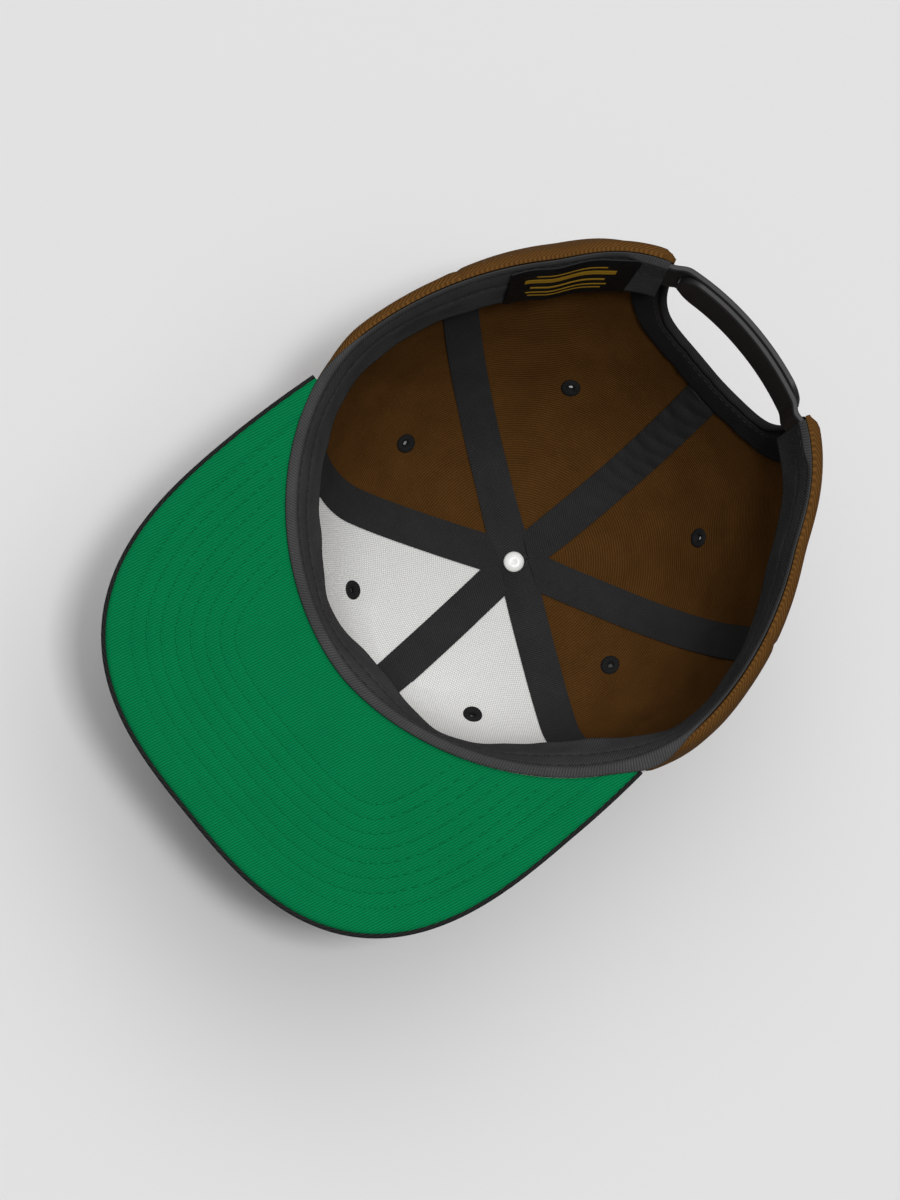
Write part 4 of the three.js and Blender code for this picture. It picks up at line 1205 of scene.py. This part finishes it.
def edge_distance(xy):
    """Distances to the outer outline, worked out in blocks to save memory."""
    block = 4000
    flat = xy.reshape(-1, 2)
    nearest = np.zeros(len(flat))
    for start in range(0, len(flat), block):
        part = flat[start:start + block]
        apart = np.linalg.norm(part[:, None, :] - OUTLINE[None, ::3, :], axis=-1)
        nearest[start:start + block] = apart.min(1)
    return nearest.reshape(xy.shape[:-1])


def quilting(distance):
    """How far the cloth sinks at the stitch rows, from its distance to the outer edge."""
    rows = FIRST_ROW + ROW_PITCH * np.arange(STITCH_ROWS)
    return np.sum([ROW_SINK * bell(distance - row, ROW_SINK_WIDTH) for row in rows], axis=0)


def make_visor_under():
    """The green cloth, padded behind its edge, tucked into the lip and quilted."""
    outer, normal, degrees = visor_columns(VISOR_COLUMNS + 1)
    edge = outer + normal * (LIP_WIDTH + 0.1)
    seam = visor_seam_point(degrees, np.full(degrees.shape, VISOR_DROP))[..., :2]
    t = np.linspace(0.0, 1.0, VISOR_ROWS + 1)[:, None, None]
    xy = seam * (1 - t) + edge * t
    distance = edge_distance(xy)
    height = visor_height(xy, degrees) - VISOR_DROP
    pad = EDGE_PAD * smoothstep(distance, 1.0, 4.0) * (1 - smoothstep(distance, 8.0, 11.0))
    tuck = EDGE_TUCK * (1 - smoothstep(distance, LIP_WIDTH, LIP_WIDTH + 1.2))
    top = np.concatenate([xy, (height + pad - quilting(distance) - tuck)[..., None]], -1)
    base = np.concatenate([xy, (height - 1.0)[..., None]], -1)
    points, faces, _ = thick_sheet(top, base)
    make_piece("cloth_visor_under", points, faces, [GREEN_CLOTH], "green_cloth", ["visor_under"],
               sheet_uv(xy[..., 0], xy[..., 1]), crease=60.0)


def make_visor_top():
    """The board with its black cloth. Rows are the inset from the edge, or None at the seam, and drop."""
    outer, normal, degrees = visor_columns(VISOR_EDGE_STEPS)
    face = VISOR_DROP
    outside = VISOR_DROP + VISOR_THICKNESS
    profile = [
        (None, outside), (6.0, outside), (2.2, outside), (1.1, outside - 0.3), (0.35, outside - 0.9),
        (0.0, outside - 1.8), (0.0, face + 1.6), (0.15, face + 0.7), (0.5, face + 0.1),
        (0.95, face - 0.1), (1.35, face + 0.05), (LIP_WIDTH + 0.3, face + 0.5),
        (LIP_WIDTH + 0.4, face + 1.3), (None, face + 1.3),
    ]
    rings = []
    for inset, drop in profile:
        if inset is None:
            rings.append(visor_seam_point(degrees, np.full(degrees.shape, drop)))
        else:
            xy = outer + normal * inset
            rings.append(np.concatenate([xy, (visor_height(xy, degrees) - drop)[:, None]], -1))
    make_swept("cloth_visor_top", np.stack(rings, 1), LIP_CLOTH, "black_cloth", "visor_top")


def visor_stitch_paths():
    """The rows of stitches on the visor's underside, each cut where it meets the crown."""
    paths = []
    for row in range(STITCH_ROWS):
        inset = FIRST_ROW + ROW_PITCH * row
        xy = OUTLINE + OUTLINE_NORMAL * inset
        angle = np.arctan2(xy[:, 0], -xy[:, 1])
        clear = edge_distance(xy) > inset - 0.4
        clear &= np.hypot(xy[:, 0], xy[:, 1]) > rim_reach(angle) + 3.0
        clear &= np.abs(np.degrees(angle)) < VISOR_END_ANGLE
        xy = xy[clear]
        z = visor_height(xy, np.degrees(angle[clear])) - VISOR_DROP - STITCH_BURY
        line = np.concatenate([xy, z[:, None]], -1)
        gaps = np.where(np.diff(distance_along(line)) > 5.0)[0]
        for part in np.split(line, gaps + 1):
            if len(part) > 10:
                paths.append((part, np.broadcast_to(UP, part.shape)))
    return paths


def make_visor_stitches():
    """Green stitches, with a dark mark after each that is painted shade of its needle hole."""
    paths = visor_stitch_paths()
    stitches("visor_stitches", paths, GREEN_THREAD, "green_cloth", VISOR_STITCH)
    # The marks after the stitches are dark bodies just above the cloth. They are painted shade of the
    # needle holes, not holes.
    hole_shades = []
    for line, normals in paths:
        later = distance_along(line) > HOLE_SHADE_SHIFT
        hole_shades.append((line[later] + HOLE_SHADE_LIFT * UP, normals[later]))
    stitches("visor_needle_hole_shades", hole_shades, NEEDLE_HOLE_SHADE_CLOTH, "green_cloth", HOLE_SHADE_SIZES)


make_visor_under()
make_visor_top()
make_visor_stitches()


# Snap strap.
STRAP_BASE = WALL + STRAP_INSET
STRAP_MIDDLE = STRAP_DROP + STRAP_WIDTH / 2
STRAP_REACH = float(rim_reach(math.radians(ARCH_CENTRE))) - STRAP_BASE
STRAP_END_TURN = math.degrees(STRAP_END_MARGIN / STRAP_REACH)
ARCH_FROM = ARCH_CENTRE - ARCH_HALF_ANGLE
ARCH_TO = ARCH_CENTRE + ARCH_HALF_ANGLE


def strap_point(degrees, inset, drop):
    share = np.abs(np.asarray(degrees) - ARCH_CENTRE) / ARCH_HALF_ANGLE
    flare = STRAP_FLARE * share**2 * (1 - smoothstep(share, FLARE_SHARE, 1.0))
    return rim_point(degrees, STRAP_BASE - flare + inset + STRAP_LEAN * (drop - STRAP_DROP), drop)


def make_strap(name, node, tab, free, layer):
    """Half of the strap, from its tab to its free end. layer is how far in it lies past its tab."""
    degrees = tab + (free - tab) * np.sin(np.linspace(0, math.pi / 2, STRAP_STATIONS))
    rounded = np.minimum(1.0, np.radians(np.abs(free - degrees)) * STRAP_REACH / STRAP_END_ROUNDING)
    half = STRAP_WIDTH / 2 * np.maximum(0.3, np.sqrt(1 - (1 - rounded) ** 2))
    inset = layer * smoothstep(degrees, ARCH_FROM - 1, ARCH_FROM + STRAP_END_TURN - 0.4)
    near = [(-1, STRAP_BEVEL), (-0.95, 0.0), (0.95, 0.0), (1, STRAP_BEVEL)]
    section = near + [(across, STRAP_THICKNESS - deep) for across, deep in near[::-1]]
    rings = np.stack([strap_point(degrees, inset + deep, STRAP_MIDDLE + across * half)
                      for across, deep in section], 1)
    make_swept(name, rings, PLASTIC, "black_plastic", node, crease=30.0)


def make_snaps():
    """Snaps: a peg through each hole, with its flat back showing inside."""
    outline = [
        (0.01, -PEG_RISE - 0.5), (1.3, -PEG_RISE - 0.4), (PEG_RADIUS, -PEG_RISE), (PEG_RADIUS, 0.2),
        (PEG_RADIUS, STRAP_THICKNESS + 0.2), (0.01, STRAP_THICKNESS + 0.2),
    ]
    bodies = []
    for k in range(SNAP_COUNT):
        from_middle = (k - (SNAP_COUNT - 1) / 2) * SNAP_PITCH
        degrees = ARCH_CENTRE + math.degrees(from_middle / STRAP_REACH)
        place = strap_point(degrees, 0.0, STRAP_MIDDLE)
        across = strap_point(degrees, 0.0, STRAP_MIDDLE + 1) - place
        before, after = (strap_point(degrees + turn, 0.0, STRAP_MIDDLE) for turn in (-0.5, 0.5))
        normal = unit(np.cross(across, after - before))
        inward = -normal if dot(normal[:2], place[:2]) > 0 else normal
        bodies.append(lathe(outline, SNAP_SIDES, place, inward))
    make_piece("strap_snaps", *joined(bodies), [PLASTIC], "black_plastic", crease=35.0)


make_strap("strap_outer_half", "strap_holes", ARCH_TO + STRAP_TAB_ANGLE - TAB_MARGIN,
           ARCH_FROM + STRAP_END_TURN, 0.0)
make_strap("strap_inner_half", "strap_pegs", ARCH_FROM - STRAP_TAB_ANGLE + TAB_MARGIN,
           ARCH_TO - STRAP_END_TURN, INNER_LAYER)
make_snaps()


# Button outside and rivet inside.

def make_button():
    edge = BUTTON_DOME - math.sqrt(BUTTON_DOME**2 - BUTTON_RADIUS**2) - BUTTON_RISE
    outline = [(0.01, -BUTTON_RISE)]
    for degrees in np.linspace(4, math.degrees(math.asin(BUTTON_RADIUS / BUTTON_DOME)), 9):
        turn = math.radians(degrees)
        outline.append((BUTTON_DOME * math.sin(turn), BUTTON_DOME * (1 - math.cos(turn)) - BUTTON_RISE))
    outline += [
        (BUTTON_RADIUS + 0.15, edge + 0.45), (BUTTON_RADIUS - 0.1, edge + 0.9),
        (BUTTON_RADIUS - 0.9, -0.2), (1.4, -0.2), (1.4, 3.4), (0.01, 3.4),
    ]
    points, faces = lathe(outline, BUTTON_SIDES, np.zeros(3), UP)
    make_piece("cloth_button", points, faces, [BROWN_OUT], "brown_cloth", ["crown_button"], points[:, :2])


def make_rivet():
    foot = TAPE_INSET + TAPE_THICKNESS + 0.9
    outline = [
        (0.01, foot - 0.6), (3.5, foot - 0.6), (3.9, foot - 0.2), (4.0, foot + 0.3),
        (3.8, foot + 0.8), (3.2, foot + 1.2), (2.0, foot + 1.5), (0.9, foot + 1.45),
        (0.5, foot + 1.3), (0.01, foot + 1.25),
    ]
    points, faces = lathe(outline, RIVET_SIDES, np.zeros(3), UP)
    make_piece("rivet_cap", points, faces, [ENAMEL], "white_enamel", ["crown_rivet"])


make_button()
make_rivet()


# Floor, light and camera.

def make_floor():
    signs = [(-1, -1), (1, -1), (1, 1), (-1, 1)]
    corners = [(x * FLOOR_HALF, y * FLOOR_HALF, FLOOR_HEIGHT) for x, y in signs]
    mesh = bpy.data.meshes.new("floor")
    mesh.from_pydata(corners, [], [(0, 1, 2, 3)])
    material, _, principled = shader("floor_paper", 0.95, 0.1)
    principled.inputs["Base Color"].default_value = (FLOOR_TONE, FLOOR_TONE, FLOOR_TONE, 1.0)
    mesh.materials.append(material)
    floor = bpy.data.objects.new("floor", mesh)
    bpy.context.scene.collection.objects.link(floor)


def make_area_light(name, place, size, power):
    data = bpy.data.lights.new(name, "AREA")
    data.energy = power
    data.size = size
    light = bpy.data.objects.new(name, data)
    light.location = place
    towards = Vector(LIGHT_TARGET) - Vector(place)
    light.rotation_euler = towards.to_track_quat("-Z", "Y").to_euler()
    bpy.context.scene.collection.objects.link(light)


def make_world():
    world = bpy.data.worlds.new("studio")
    bpy.context.scene.world = world
    world.use_nodes = True
    background = world.node_tree.nodes["Background"]
    background.inputs["Color"].default_value = (1.0, 1.0, 1.0, 1.0)
    background.inputs["Strength"].default_value = WORLD_LEVEL


def camera_axes():
    """The level cap's camera place, its picture axes (right, down and forward) and focal length."""
    lean = Vector((math.tan(VIEW_RIGHT_LEAN), -math.tan(VIEW_FRONT_LEAN), 1.0)).normalized()
    place = Vector(VIEW_TARGET) + lean * VIEW_DISTANCE
    forward = -lean
    front = Vector((0.0, -1.0, 0.0))
    front = (front - forward * front.dot(forward)).normalized()
    side = Vector((1.0, 0.0, 0.0))
    side = (side - forward * side.dot(forward) - front * side.dot(front)).normalized()
    cosine, sine = math.cos(VIEW_ROLL), math.sin(VIEW_ROLL)
    right = front * cosine + side * sine
    down = front * sine - side * cosine
    focal = PIXELS_PER_MM * VIEW_DISTANCE
    off_middle = [(VIEW_TARGET_PIXEL[k] - PICTURE[k] / 2) / focal for k in range(2)]
    aim = Vector((*off_middle, 1.0)).normalized()
    turn = Vector((0.0, 0.0, 1.0)).rotation_difference(aim).to_matrix()
    return place, turn @ Matrix((right, down, forward)), focal


def make_camera():
    place, axes, focal = camera_axes()
    data = bpy.data.cameras.new("camera")
    data.sensor_width = SENSOR
    data.lens = focal / PICTURE[1] * SENSOR
    data.clip_start = 0.05
    data.clip_end = 20.0
    camera = bpy.data.objects.new("camera", data)
    tip = Matrix.Rotation(REST_TILT, 3, "X")
    right, down, forward = (tip @ Vector(axes[k]) for k in range(3))
    turn = Matrix((right, -down, -forward)).transposed()
    camera.matrix_world = Matrix.Translation(Vector(tipped(np.array(place)).tolist())) @ turn.to_4x4()
    bpy.context.scene.collection.objects.link(camera)
    bpy.context.scene.camera = camera


make_floor()
make_world()
for light in LIGHTS:
    make_area_light(*light)
make_camera()
bpy.context.scene.view_settings.view_transform = "Standard"
